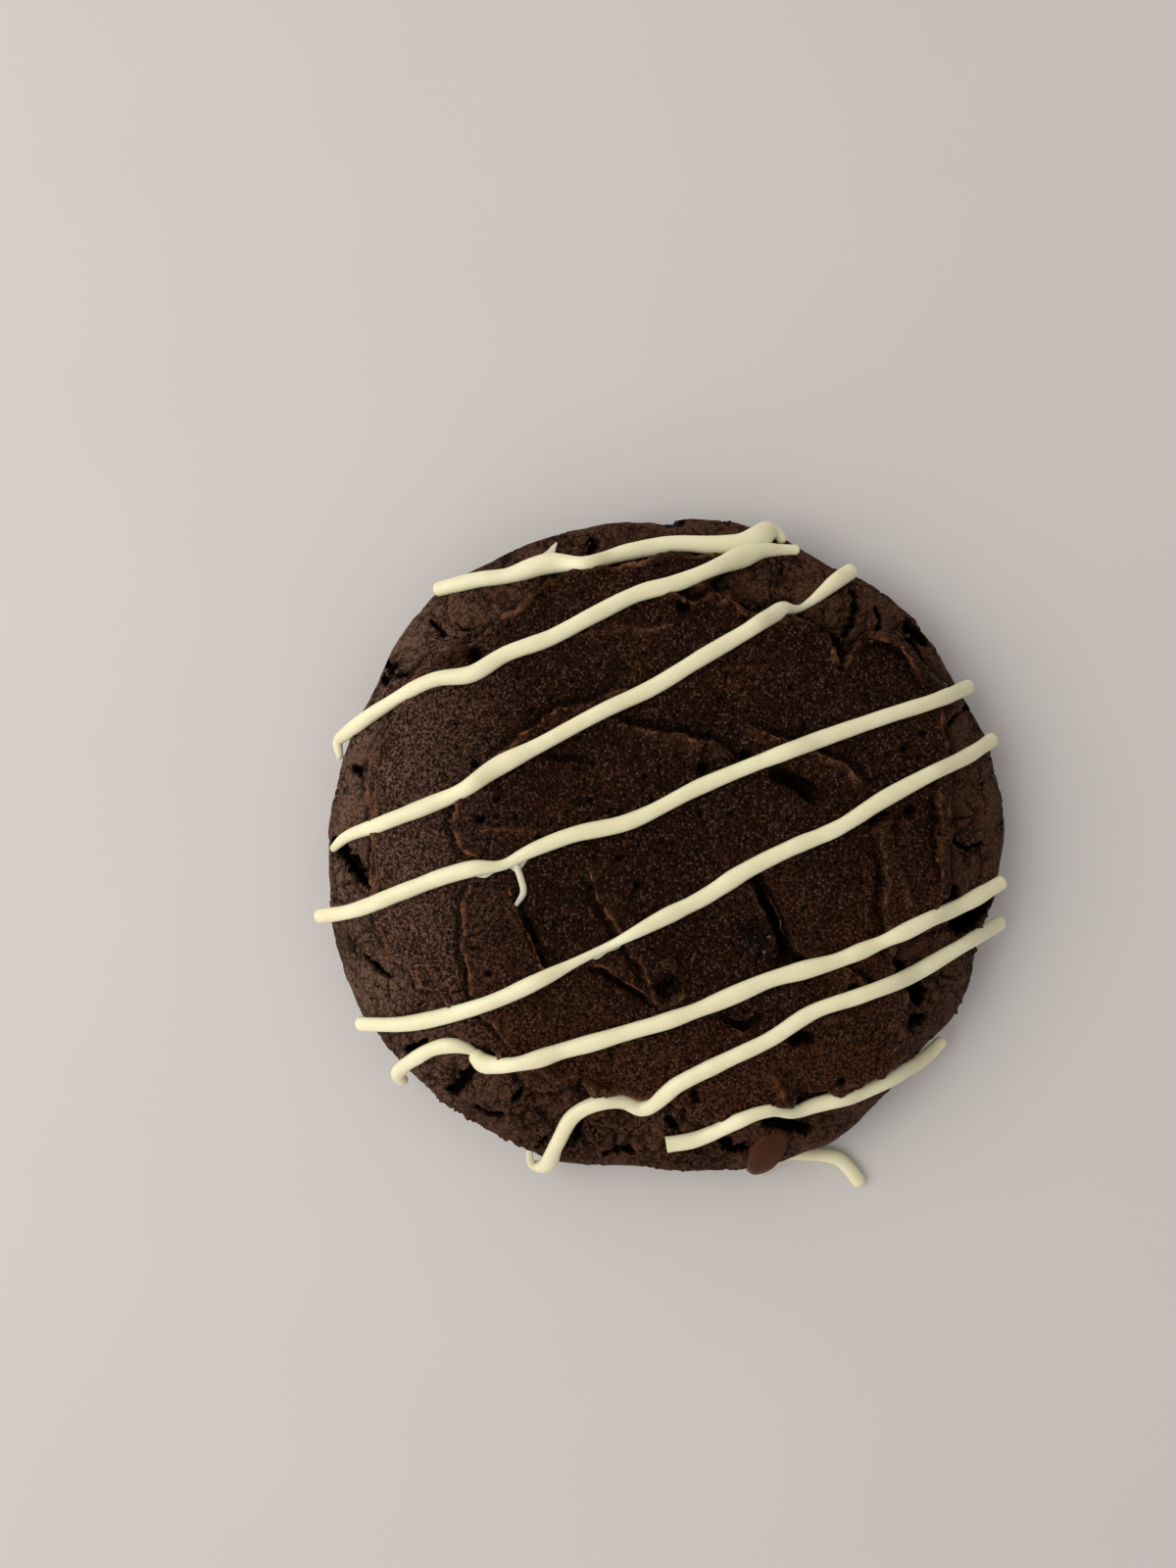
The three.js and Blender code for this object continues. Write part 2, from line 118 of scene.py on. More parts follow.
def cell_values(cells, seed):
    """A fixed value from 0 to 1 for every cell of the lattice."""
    first, second = MIXING_SHIFTS
    mixed = cells @ CELL_FACTORS + seed * SEED_FACTOR
    mixed = (mixed ^ (mixed >> first)) * MIXING_FACTOR
    return ((mixed ^ (mixed >> second)) & VALUE_MASK) / VALUE_MASK


def noise(points, size, seed):
    """Smooth hills and hollows from -1 to 1, about `size` across."""
    if points.shape[1] == 2:
        points = np.column_stack([points, np.zeros(len(points))])
    turned = (points / size) @ OCTAVE_TURN + SEED_OFFSET * seed
    cells = np.floor(turned).astype(np.int64)
    blend = turned - cells
    blend = blend * blend * (3 - 2 * blend)
    total = np.zeros(len(points))
    for corner in itertools.product((0, 1), repeat=3):
        weight = np.where(corner, blend, 1 - blend).prod(axis=1)
        total += weight * cell_values(cells + np.array(corner), seed)
    return 2 * total - 1


def rough_noise(points, size, seed, octaves=3):
    """Noise with smaller and smaller hills on top of each other."""
    return sum(noise(points, size / 2**k, seed + k) / 2**k for k in range(octaves))


def rise(value):
    """A soft step from 0 at 0 to 1 at 1."""
    value = np.clip(value, 0, 1)
    return value * value * (3 - 2 * value)


def smooth_line(rows, step):
    """A smooth line through rows of numbers, with a row for about every `step` along it."""
    rows = np.asarray(rows, float)
    chords = np.linalg.norm(np.diff(rows[:, :2], axis=0), axis=1)[:, None]
    slopes = np.diff(rows, axis=0) / chords
    inner = (slopes[:-1] * chords[1:] + slopes[1:] * chords[:-1]) / (chords[:-1] + chords[1:])
    tangents = np.vstack([slopes[:1], inner, slopes[-1:]])
    pieces = []
    for k, chord in enumerate(chords[:, 0]):
        t = np.linspace(0, 1, max(2, round(chord / step)) + 1)[:-1, None]
        start = rows[k] * (1 + 2 * t) * (1 - t) ** 2 + tangents[k] * chord * t * (1 - t) ** 2
        end = rows[k + 1] * t * t * (3 - 2 * t) + tangents[k + 1] * chord * t * t * (t - 1)
        pieces.append(start + end)
    return np.vstack([*pieces, rows[-1:]])


def near_line(points, line, reach):
    """The points within reach of a line: indices, distance, side (positive on its left) and share along."""
    width = line.shape[1]
    close = ((points[:, :width] > line.min(0) - reach) & (points[:, :width] < line.max(0) + reach)).all(1)
    picked = np.flatnonzero(close)
    here = points[picked, :width]
    distance = np.full(len(picked), np.inf)
    side = np.ones(len(picked))
    share = np.zeros(len(picked))
    for k, (start, end) in enumerate(zip(line[:-1], line[1:])):
        along = end - start
        offset = here - start
        part = np.clip(offset @ along / (along @ along), 0, 1)
        gap = np.linalg.norm(offset - part[:, None] * along, axis=1)
        nearer = gap < distance
        turn = along[0] * offset[:, 1] - along[1] * offset[:, 0]
        distance = np.where(nearer, gap, distance)
        side = np.where(nearer, np.sign(turn), side)
        share = np.where(nearer, (k + part) / (len(line) - 1), share)
    return picked, distance, side, share


# %% [markdown]
# ## The shape of the dough
#
# A cookie that bakes free on a tray is nearly round, with a few bulges and dents where the dough ran or
# stayed back. Its rim is written as a circle with waves. The dome is a rule as well: level in the
# middle, and turning down faster and faster towards the rim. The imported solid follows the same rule.

# %% Rim and dome
COOKIE_RADIUS = 43.6
WIDEST_HEIGHT = 5.5
DOME_RISE = 10.0
DOME_SQUARENESS = 3.4
DOME_ROUNDNESS = 2.2
FOOT_INSET = 2.8
OVERHANG_DROP = 1.0
DEEPEST_DROP = 2.5

RIM_WAVES = [  # angle and spread in degrees, and how far it stands out in mm
    (8, 20, 0.7), (62, 7, -0.9), (93, 10, -1.1), (135, 11, 1.2), (204, 26, 1.7), (265, 13, -1.4),
    (299, 9, 0.7), (320, 6, -0.9), (345, 6, -1.0),
]
RIM_RIPPLES = [(9, 0.12), (23, 0.1)]  # how many round the rim, and how far they stand out in mm


def angle_of(points):
    return np.arctan2(points[:, 1], points[:, 0])


def rim_radius(angles):
    degrees = np.degrees(angles)
    radius = np.full_like(degrees, COOKIE_RADIUS)
    for at, spread, out in RIM_WAVES:
        apart = (degrees - at + 180) % 360 - 180
        radius += out * np.exp(-((apart / spread) ** 2))
    for count, out in RIM_RIPPLES:
        radius += out * np.sin(count * angles)
    return radius


def dome_height(points):
    """Height of the crust above the floor, and past the rim, how low a thing hangs."""
    radius = np.hypot(points[:, 0], points[:, 1])
    rim = rim_radius(angle_of(points))
    fullness = (1 - np.clip(radius / rim, 0, 1) ** DOME_SQUARENESS) ** (1 / DOME_ROUNDNESS)
    hang = np.minimum(OVERHANG_DROP * np.clip(radius - rim, 0, None), DEEPEST_DROP)
    return WIDEST_HEIGHT + DOME_RISE * fullness - hang


def on_dome(*places):
    """Places in the picture as points on the crust."""
    return place_on(dome_height, places)


LEFT_SHEEN_START = -16.0  # further to the left than this the food is painted paler, as a sheen of the light from there
LEFT_SHEEN_WIDTH = 24.0
BROWN_START = 12.0  # thin frosting is browner further to the front than this
BROWN_WIDTH = 30.0
THIN_BAND = 17.0


def left_sheen_share(points):
    """From 0 to 1 towards the left, where a sheen of the light from the left is painted on the food."""
    return rise((LEFT_SHEEN_START - points[:, 0]) / LEFT_SHEEN_WIDTH)


def brownness(points, depth):
    """From 0 to 1 where the frosting is thin, near its edge, and browner towards the front."""
    thin = 1 - rise(depth / THIN_BAND)
    return thin * rise((BROWN_START - points[:, 1]) / BROWN_WIDTH)


print("height of the dome in mm:", WIDEST_HEIGHT + DOME_RISE)

# %% [markdown]
# ## Where the frosting ends
#
# The frosting leaves a band of crust bare. Its outline has no rule: it shows where each stroke of the
# knife stopped, and it has deep notches. So its corners are a given list, and noise tears the straight
# lines between them.

# %% Outline of the frosting
FROSTING_EDGE = [
    (572, 583), (600, 580), (630, 580), (655, 573), (690, 565), (736, 567), (744, 580), (722, 597),
    (735, 610), (752, 617), (772, 630), (796, 633), (820, 631), (836, 641), (846, 655), (858, 675),
    (866, 664), (878, 651), (900, 650), (926, 660), (940, 682), (955, 690), (968, 699), (962, 714),
    (960, 735), (966, 770), (967, 818), (968, 845), (965, 880), (964, 912), (945, 948), (912, 957),
    (909, 975), (912, 990), (924, 1016), (924, 1046), (928, 1062), (924, 1074), (901, 1095), (878, 1106),
    (855, 1113), (838, 1111), (811, 1120), (808, 1136), (799, 1127), (781, 1131), (758, 1141),
    (739, 1145), (716, 1146), (700, 1141), (697, 1128), (680, 1122), (655, 1121), (637, 1116),
    (602, 1117), (591, 1101), (554, 1115), (538, 1108), (526, 1096), (515, 1082), (490, 1066),
    (478, 1062), (462, 1048), (458, 1030), (448, 1012), (426, 1006), (420, 988), (397, 976), (386, 951),
    (382, 935), (380, 880), (380, 828), (374, 788), (381, 763), (401, 731), (411, 715), (422, 690),
    (440, 672), (480, 655), (528, 622),
]
EDGE_TEARS = 0.45  # how far the edge is torn in or out
EDGE_TEAR_SIZE = 1.6
EDGE_TEAR_SEED = 11
WHOLE_COOKIE = 1000  # a reach in mm that leaves no point out
edge_corners = on_dome(*FROSTING_EDGE)[:, :2]
edge_loop = np.vstack([edge_corners, edge_corners[:1]])


def inside_loop(points, loop):
    """True where a point lies inside a closed outline."""
    inside = np.zeros(len(points), bool)
    for (x1, y1), (x2, y2) in zip(loop[:-1], loop[1:]):
        between = (points[:, 1] < y1) != (points[:, 1] < y2)
        if y1 != y2:
            inside ^= between & (points[:, 0] < x1 + (points[:, 1] - y1) * (x2 - x1) / (y2 - y1))
    return inside


def edge_depth(points):
    """How far a point lies inside the frosting's torn edge, in mm, and negative outside it."""
    _, distance, _, _ = near_line(points, edge_loop, WHOLE_COOKIE)
    depth = np.where(inside_loop(points, edge_loop), distance, -distance)
    return depth + EDGE_TEARS * rough_noise(points, EDGE_TEAR_SIZE, EDGE_TEAR_SEED)


print("corners of the frosting's edge:", len(FROSTING_EDGE))

# %% [markdown]
# ## Nodes in a few words
#
# Geometry Nodes and materials are both trees of nodes. These helpers add a node, set or link its
# inputs, and give back the socket that the next node reads, so that a tree reads like a recipe.

# %% Helpers for node trees
def add_node(tree, kind, inputs=None, **settings):
    """Adds a node. An input is a number, or a socket of another node that is linked to it."""
    node = tree.nodes.new(kind)
    for name, value in settings.items():
        setattr(node, name, value)
    for name, value in (inputs or {}).items():
        if isinstance(value, bpy.types.NodeSocket):
            tree.links.new(value, node.inputs[name])
        else:
            node.inputs[name].default_value = value
    return node


def maths(tree, operation, first, second=0.0, third=0.0, clamp=False):
    inputs = {0: first, 1: second, 2: third}
    return add_node(tree, "ShaderNodeMath", inputs, operation=operation, use_clamp=clamp).outputs[0]


def soft_step(tree, value, low, high):
    """0 below low, 1 above high, and a soft step between."""
    inputs = {"Value": value, "From Min": low, "From Max": high}
    kind = "ShaderNodeMapRange"
    return add_node(tree, kind, inputs, interpolation_type="SMOOTHSTEP").outputs["Result"]


def noise_value(tree, place, scale, detail=2.0, roughness=0.5, seed=0.0):
    inputs = {"Vector": place, "W": seed, "Scale": scale, "Detail": detail, "Roughness": roughness}
    node = add_node(tree, "ShaderNodeTexNoise", inputs, noise_dimensions="4D")
    return node.outputs["Fac" if "Fac" in node.outputs else "Factor"]


def mix_colours(tree, share, first, second):
    node = add_node(tree, "ShaderNodeMix", {0: share}, data_type="RGBA")
    for socket, value in ((node.inputs[6], first), (node.inputs[7], second)):
        if isinstance(value, bpy.types.NodeSocket):
            tree.links.new(value, socket)
        else:
            socket.default_value = (*value, 1.0)
    return node.outputs[2]


def attribute_value(tree, name):
    """Reads a number that was stored on the mesh, in a material."""
    return add_node(tree, "ShaderNodeAttribute", attribute_name=name).outputs["Fac"]


def new_geometry_tree(name, sizes):
    """An empty Geometry Nodes tree with named number inputs, given as name: usual value."""
    tree = bpy.data.node_groups.new(name, "GeometryNodeTree")
    tree.interface.new_socket("Geometry", in_out="INPUT", socket_type="NodeSocketGeometry")
    tree.interface.new_socket("Geometry", in_out="OUTPUT", socket_type="NodeSocketGeometry")
    for label, usual in sizes.items():
        kind = "NodeSocketInt" if isinstance(usual, int) else "NodeSocketFloat"
        socket = tree.interface.new_socket(label, in_out="INPUT", socket_type=kind)
        socket.default_value = usual
    return tree, tree.nodes.new("NodeGroupInput").outputs


def end_tree(tree, geometry, material):
    """Ends a tree as every tree here ends: with instances made real, and a material."""
    real = add_node(tree, "GeometryNodeRealizeInstances", {"Geometry": geometry})
    painted = add_node(tree, "GeometryNodeSetMaterial", {"Geometry": real.outputs[0], "Material": material})
    output = tree.nodes.new("NodeGroupOutput")
    tree.links.new(painted.outputs[0], output.inputs[0])


def stored_value(tree, name):
    """Reads a number that was stored on the mesh, in a Geometry Nodes tree."""
    return add_node(tree, "GeometryNodeInputNamedAttribute", {"Name": name}).outputs["Attribute"]


def vector_maths(tree, operation, first, second, output=0):
    """A sum of two vectors, or a vector times a number when the operation is SCALE."""
    inputs = {0: first, ("Scale" if operation == "SCALE" else 1): second}
    return add_node(tree, "ShaderNodeVectorMath", inputs, operation=operation).outputs[output]


def pushed_out(tree, geometry, height):
    """Moves the points of a mesh along its own direction by a height in metres."""
    normal = add_node(tree, "GeometryNodeInputNormal").outputs[0]
    offset = vector_maths(tree, "SCALE", normal, height)
    return add_node(tree, "GeometryNodeSetPosition", {"Geometry": geometry, "Offset": offset}).outputs[0]


def roughened(tree, given, geometry, share=1.0):
    """Bumps of the tree's inputs Bump Height and Bump Size, times a share for each point."""
    place = add_node(tree, "GeometryNodeInputPosition").outputs[0]
    scale = maths(tree, "DIVIDE", 1.0 / MM, given["Bump Size"])
    bumps = maths(tree, "SUBTRACT", noise_value(tree, place, scale, 2.0, 0.6, given["Seed"]), 0.5)
    height = maths(tree, "MULTIPLY", maths(tree, "MULTIPLY", bumps, given["Bump Height"]), 2 * MM)
    return pushed_out(tree, geometry, maths(tree, "MULTIPLY", height, share))


def run_tree(base, tree, name, **sizes):
    """Runs a tree on a base object, and keeps what it makes as one plain mesh object."""
    modifier = base.modifiers.new(tree.name, "NODES")
    modifier.node_group = tree
    for item in tree.interface.items_tree:
        label = item.name.lower().replace(" ", "_")
        if item.in_out == "INPUT" and label in sizes:
            modifier[item.identifier] = sizes[label]
    evaluated = base.evaluated_get(bpy.context.evaluated_depsgraph_get())
    mesh = bpy.data.meshes.new_from_object(evaluated)
    bpy.data.objects.remove(base)
    mesh.name = name
    return link_object(name, mesh)


def link_object(name, mesh):
    made = bpy.data.objects.new(name, mesh)
    bpy.context.scene.collection.objects.link(made)
    return made


def skin(name, points, faces, **values):
    """A mesh object from points in mm and faces, with a stored number for each point."""
    mesh = bpy.data.meshes.new(name)
    mesh.from_pydata((np.asarray(points) * MM).tolist(), [], [list(face) for face in faces])
    mesh.shade_smooth()
    for label, numbers in values.items():
        attribute = mesh.attributes.new(label, "FLOAT", "POINT")
        attribute.data.foreach_set("value", np.asarray(numbers, np.float32))
    return link_object(name, mesh)


def volume_of(made):
    """Volume inside a piece in cubic centimetres, which is positive when its faces point outwards."""
    shape = bmesh.new()
    shape.from_mesh(made.data)
    volume = shape.calc_volume(signed=True) * 1e6
    shape.free()
    return round(volume, 2)


def hand_over(made, slot, *nodes):
    """Puts a finished piece on the cookie, in place of CAD nodes if it stands for any."""
    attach(made, BODY)
    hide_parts(*nodes)
    triangles = sum(len(face.vertices) - 2 for face in made.data.polygons)
    print(f"{made.name}: {triangles} triangles, {volume_of(made)} cubic centimetres, for {nodes}")


# %% [markdown]
# ## Finishes
#
# Every finish starts from a Principled shader with its constant numbers set on the shader itself, and
# noise in Object coordinates for what varies. The sizes are real: a scale of 1000 makes noise about a
# millimetre across.

# %% Helpers for materials
WARM_GLOSS = (1.0, 0.66, 0.50, 1.0)  # fat and cocoa give dark food a brown gloss


def new_material(name, constants):
    """A material with a Principled shader whose constant inputs are set by name."""
    material = bpy.data.materials.new(name)
    material.use_nodes = True
    tree = material.node_tree
    shader = tree.nodes["Principled BSDF"]
    for label, value in constants.items():
        shader.inputs[label].default_value = value
    place = add_node(tree, "ShaderNodeTexCoord").outputs["Object"]
    return material, tree, shader, place


def add_bump(tree, height, depth, below=None):
    """Bumps of a height map, `depth` mm deep, on top of the bumps below."""
    inputs = {"Height": height, "Distance": depth * MM, "Strength": 1.0}
    if below is not None:
        inputs["Normal"] = below
    return add_node(tree, "ShaderNodeBump", inputs).outputs["Normal"]


def grain_cells(tree, place, size):
    """Grains of a size in mm: how far a point is from the middle of its grain, and a value per grain."""
    cells = add_node(tree, "ShaderNodeTexVoronoi", {"Vector": place, "Scale": 1 / (size * MM)}).outputs
    return cells["Distance"], maths(tree, "ADD", cells["Color"], 0.0)


# %% [markdown]
# ## The crust's finish
#
# Dark cocoa dough bakes to a matte brown skin, redder in fine specks. It is painted paler and greyer to
# the left, as a sheen of the light from there, and darker between its grains and in the hollows of its
# bumps, as painted shade. Its holes, cracks and pores are painted nearly black, as the shade inside
# them. The mesh stores how much painted shade each point takes, from the depth of its hole and from the
# frosting's edge beside it, and the finish darkens with it.

# %% Crust material
CRUST_TONE = (0.088, 0.039, 0.0220)
CRUST_LEFT_SHEEN = (0.155, 0.087, 0.058)
CRUST_DARK = (0.031, 0.0130, 0.0070)
CRUST_SPECK = (0.140, 0.068, 0.036)
# near black, for painted shade in holes and cracks
CRUST_SHADE_BLACK = (0.0018, 0.0008, 0.0005)


def hair_cracks(tree, place, size):
    """1 on cracks as fine as a hair between plates of a size in mm, in clusters here and there."""
    bend = add_node(tree, "ShaderNodeTexNoise", {"Vector": place, "Scale": 900.0}).outputs["Color"]
    bent = vector_maths(tree, "ADD", place, vector_maths(tree, "SCALE", bend, size * MM))
    cells = {"Vector": bent, "Scale": 1 / (size * MM)}
    edge = add_node(tree, "ShaderNodeTexVoronoi", cells, feature="DISTANCE_TO_EDGE").outputs["Distance"]
    where = soft_step(tree, noise_value(tree, place, 210.0, seed=4.0), 0.47, 0.62)
    return maths(tree, "MULTIPLY", soft_step(tree, edge, 0.07, 0.01), where)


def crust_material():
    constants = {"Specular IOR Level": 0.05, "Specular Tint": WARM_GLOSS}
    material, tree, shader, place = new_material("crust", constants)
    broad = noise_value(tree, place, 110.0, detail=3.0)
    middle = noise_value(tree, place, 800.0, detail=3.0, roughness=0.6, seed=2.0)
    distance, chance = grain_cells(tree, place, 0.42)
    cracks = hair_cracks(tree, place, 1.5)
    # Painted sheen: the crust is paler and greyer to the left, where the light comes from.
    tone = mix_colours(tree, attribute_value(tree, "dry"), CRUST_TONE, CRUST_LEFT_SHEEN)
    tone = mix_colours(tree, soft_step(tree, broad, 0.48, 0.80), tone, CRUST_DARK)
    # Painted shade in the gaps between grains and in the hollows of the bumps.
    between = maths(tree, "MULTIPLY", soft_step(tree, distance, 0.40, 0.75), 0.75)
    tone = mix_colours(tree, between, tone, CRUST_DARK)
    tone = mix_colours(tree, soft_step(tree, middle, 0.45, 0.32), tone, CRUST_DARK)
    speck = maths(tree, "MULTIPLY", soft_step(tree, chance, 0.66, 0.76), soft_step(tree, distance, 0.55, 0.2))
    tone = mix_colours(tree, maths(tree, "MULTIPLY", speck, 0.6), tone, CRUST_SPECK)
    # Painted shade: holes, cracks, pores, fine cracks and the line beside the frosting turn near black.
    hidden = maths(tree, "MAXIMUM", attribute_value(tree, "painted_shade"), attribute_value(tree, "crack"))
    tone = mix_colours(tree, maths(tree, "MAXIMUM", hidden, cracks), tone, CRUST_SHADE_BLACK)
    tree.links.new(tone, shader.inputs["Base Color"])
    gloss = maths(tree, "MULTIPLY_ADD", middle, 0.25, 0.48)
    tree.links.new(gloss, shader.inputs["Roughness"])
    grain = add_bump(tree, soft_step(tree, distance, 0.75, 0.15), 0.16)
    grain = add_bump(tree, maths(tree, "SUBTRACT", 1.0, cracks), 0.25, grain)
    tree.links.new(add_bump(tree, middle, 0.8, grain), shader.inputs["Normal"])
    return material


crust_finish = crust_material()

# %% [markdown]
# ## The cookie
#
# The crust is the baked skin of the dough. It could be a sculpted ball, but rings round the middle follow
# the rule of the dome exactly. They lie close together where the crust is bare, and far apart under the
# frosting, where nothing shows.

# %% Rings of the crust
CRUST_SIDES = 900
HIDDEN_SHARES = [0.12, 0.26, 0.39, 0.50, 0.59]
BARE_SHARE = 0.67  # the bare band of crust starts outside this share of the rim's radius
BARE_RINGS = 62
SIDE_RINGS = 20
FOOT_SHARES = [0.985, 0.8, 0.5, 0.2]
LAST_SHARE = 0.99999  # the dome's last ring lies just inside the rim
PROFILE_STEPS = 2000


def profile_shares():
    """Shares of the rim's radius for rings that lie evenly along the dome, out to the rim."""
    shares = np.linspace(BARE_SHARE, 1, PROFILE_STEPS)
    heights = DOME_RISE * (1 - shares**DOME_SQUARENESS) ** (1 / DOME_ROUNDNESS)
    steps = np.hypot(np.diff(shares) * COOKIE_RADIUS, np.diff(heights))
    run = np.concatenate([[0], np.cumsum(steps)])
    return np.interp(np.linspace(0, run[-1], BARE_RINGS), run, shares)


def crust_rings():
    """Rings of points from the middle of the top, over the rim, to the middle of the underside."""
    angles = np.arange(CRUST_SIDES) * 2 * np.pi / CRUST_SIDES
    directions = np.column_stack([np.cos(angles), np.sin(angles)])
    rims = rim_radius(angles)[:, None]
    rings = []
    for share in [*HIDDEN_SHARES, *profile_shares()]:
        flat = directions * rims * min(share, LAST_SHARE)
        rings.append(np.column_stack([flat, dome_height(flat)]))
    for turn in np.linspace(0, np.pi / 2, SIDE_RINGS + 1)[1:]:
        flat = directions * (rims - FOOT_INSET * (1 - np.cos(turn)))
        rings.append(np.column_stack([flat, np.full(CRUST_SIDES, WIDEST_HEIGHT * (1 - np.sin(turn)))]))
    for share in FOOT_SHARES:
        rings.append(np.column_stack([directions * (rims - FOOT_INSET) * share, np.zeros(CRUST_SIDES)]))
    return np.array(rings)


def ring_faces(ring_count, sides):
    """Faces between rings that run from the top outwards and down, with a fan on either end."""
    faces = []
    for ring in range(ring_count - 1):
        for side in range(sides):
            following = (side + 1) % sides
            a, b = ring * sides + side, ring * sides + following
            faces.append((a, a + sides, b + sides, b))
    top, bottom = ring_count * sides, ring_count * sides + 1
    last = (ring_count - 1) * sides
    for side in range(sides):
        following = (side + 1) % sides
        faces.append((top, side, following))
        faces.append((bottom, last + following, last + side))
    return faces


def outward(rings):
    """Directions that point out of the skin at every point of the rings."""
    round_about = np.roll(rings, -1, axis=1) - np.roll(rings, 1, axis=1)
    downward = np.gradient(rings, axis=0)
    direction = np.cross(downward, round_about)
    return direction / np.linalg.norm(direction, axis=2, keepdims=True)


# %% [markdown]
# ## Holes and cracks
#
# Steam leaves holes in the crust, and it cracks where the dough swelled. The ones that an eye picks out
# have no rule, so they are placed one by one: each is a short line with a width and a depth, and points
# near it sink in. Lumps and crumbly patches are placed in the same way.

# %% Holes and cracks in the crust
CRUST_MARKS = [  # half width and depth in mm, and the line it follows
    (1.45, 4.2, [(979, 942), (1002, 929)]),
    (0.95, 2.4, [(932, 1003), (938, 1019)]),
    (0.75, 2.0, [(929, 1042), (940, 1040)]),
    (0.55, 1.3, [(917, 984), (921, 988)]),
    (0.90, 1.8, [(746, 1168), (756, 1173)]),
    (0.45, 1.0, [(735, 1163), (745, 1168)]),
    (0.75, 1.9, [(788, 1144), (806, 1148), (823, 1152)]),
    (0.80, 2.0, [(352, 871), (361, 884), (368, 893)]),
    (0.60, 1.6, [(368, 893), (377, 903)]),
    (0.50, 1.3, [(419, 1070), (434, 1066)]),
    (0.65, 1.8, [(482, 1091), (474, 1102), (462, 1112)]),
    (0.32, 1.0, [(524, 1124), (533, 1112)]),
    (0.45, 1.3, [(490, 1130), (500, 1136), (511, 1138)]),
    (0.50, 1.3, [(391, 692), (396, 696)]),
    (0.32, 0.9, [(402, 690), (415, 688)]),
    (0.28, 0.9, [(439, 634), (447, 640), (453, 649)]),
    (0.22, 0.7, [(466, 636), (472, 642), (478, 643)]),
    (0.55, 1.3, [(362, 784), (368, 788)]),
    (0.35, 1.1, [(603, 549), (606, 556), (603, 563)]),
    (0.24, 0.9, [(373, 977), (386, 988), (398, 998)]),
    (0.28, 1.0, [(970, 850), (976, 861), (987, 866), (1001, 861)]),
    (0.28, 0.9, [(968, 740), (976, 730), (988, 721)]),
    (0.30, 0.9, [(871, 604), (873, 620), (869, 638), (862, 648)]),
    (0.26, 0.8, [(894, 620), (899, 632), (896, 645)]),
    (0.60, 1.6, [(395, 676), (401, 681)]),
    (1.30, 1.8, [(669, 531), (690, 534)]),
    (0.95, 2.6, [(927, 641), (941, 652)]),
    (0.50, 1.8, [(931, 655), (936, 667), (941, 679)]),
    (0.70, 1.6, [(341, 861), (350, 868)]),
    (0.60, 1.5, [(851, 655), (859, 667)]),
    (0.80, 1.7, [(963, 912), (974, 908)]),
    (0.22, 0.5, [(792, 570), (800, 577), (796, 586)]),
    (0.35, 1.0, [(583, 1149), (592, 1141), (588, 1163)]),
    (0.35, 1.0, [(618, 1178), (634, 1171), (645, 1176)]),
    (0.40, 1.2, [(548, 1171), (556, 1163)]),
    (0.50, 1.4, [(683, 1143), (689, 1150)]),
]
CRUST_LUMPS = [  # radius and height in mm, and the place
    (2.2, 0.7, (461, 1128)), (3.0, 0.5, (700, 541)), (2.6, 0.6, (640, 545)), (2.0, 0.6, (925, 633)),
    (2.4, 0.5, (945, 650)), (2.5, 0.5, (1004, 915)), (2.0, 0.5, (478, 1120)), (2.6, 0.6, (560, 1180)),
]
ROUGH_PATCHES = [  # radius in mm of crust with a chunky, crumbly surface, and the place
    (5.5, (470, 1130)), (6.5, (530, 1150)), (7.0, (610, 1160)), (5.0, (690, 1180)), (4.0, (940, 1020)),
    (6.0, (775, 600)), (5.0, (860, 640)), (4.5, (362, 885)), (4.5, (935, 655)), (5.0, (740, 1170)),
    (4.0, (800, 1145)), (3.5, (400, 690)), (3.0, (425, 1075)), (3.5, (1000, 930)), (4.0, (620, 550)),
]
MARK_SHARPNESS = 0.30  # share of a mark's half width over which its wall falls
MARK_TEARS = 0.45
MARK_TEAR_SIZE = 1.1
MARK_FULLNESS = 1.2  # how much wider a mark is than its half width, before its tears
BLACK_DEPTH = 0.8  # mm below which a hole is painted black, as the shade inside it
UPRIGHT_LIMIT = 0.4  # holes sink straight down where the skin's direction points up more than this


def sink_marks(points):
    """How far each point of the crust moves inwards, and the painted shade of its hole from 0 to 1."""
    sinking = np.zeros(len(points))
    ragged = MARK_TEARS * rough_noise(points, MARK_TEAR_SIZE, seed=31)
    for half_width, depth, places in CRUST_MARKS:
        line = on_dome(*places)
        picked, distance, _, _ = near_line(points, line, 2 * half_width + 1)
        inside = half_width * (MARK_FULLNESS + ragged[picked]) - distance
        dent = depth * rise(inside / (MARK_SHARPNESS * half_width))
        sinking[picked] = np.maximum(sinking[picked], dent)
    return sinking, rise(sinking / BLACK_DEPTH)


def sinking_directions(directions):
    """Straight up where the skin faces up, so that a hole near the rim leaves the rim standing."""
    upright = rise(directions[:, 2] / UPRIGHT_LIMIT)[:, None]
    blended = directions * (1 - upright) + upright * [0, 0, 1]
    return blended / np.linalg.norm(blended, axis=1, keepdims=True)


def raise_lumps(points):
    raised = np.zeros(len(points))
    for radius, height, place in CRUST_LUMPS:
        distance = np.linalg.norm(points - on_dome(place), axis=1)
        raised += height * np.exp(-((distance / radius) ** 2))
    return raised


def roughness_of(points):
    """From 0 on smooth crust to 1 on crumbly crust."""
    rough = np.zeros(len(points))
    for radius, place in ROUGH_PATCHES:
        distance = np.linalg.norm(points - on_dome(place), axis=1)
        rough = np.maximum(rough, rise(1.6 - 1.3 * distance / radius))
    return rough


# %% [markdown]
# The fine relief is the same all over the bare crust: soft lumps, a net of fine cracks where the skin
# dried and shrank, and pores. A Geometry Nodes tree adds it along the skin's own direction. It also
# stores where its cracks and pores are, for the finish to paint shade in them. The flat foot keeps still.

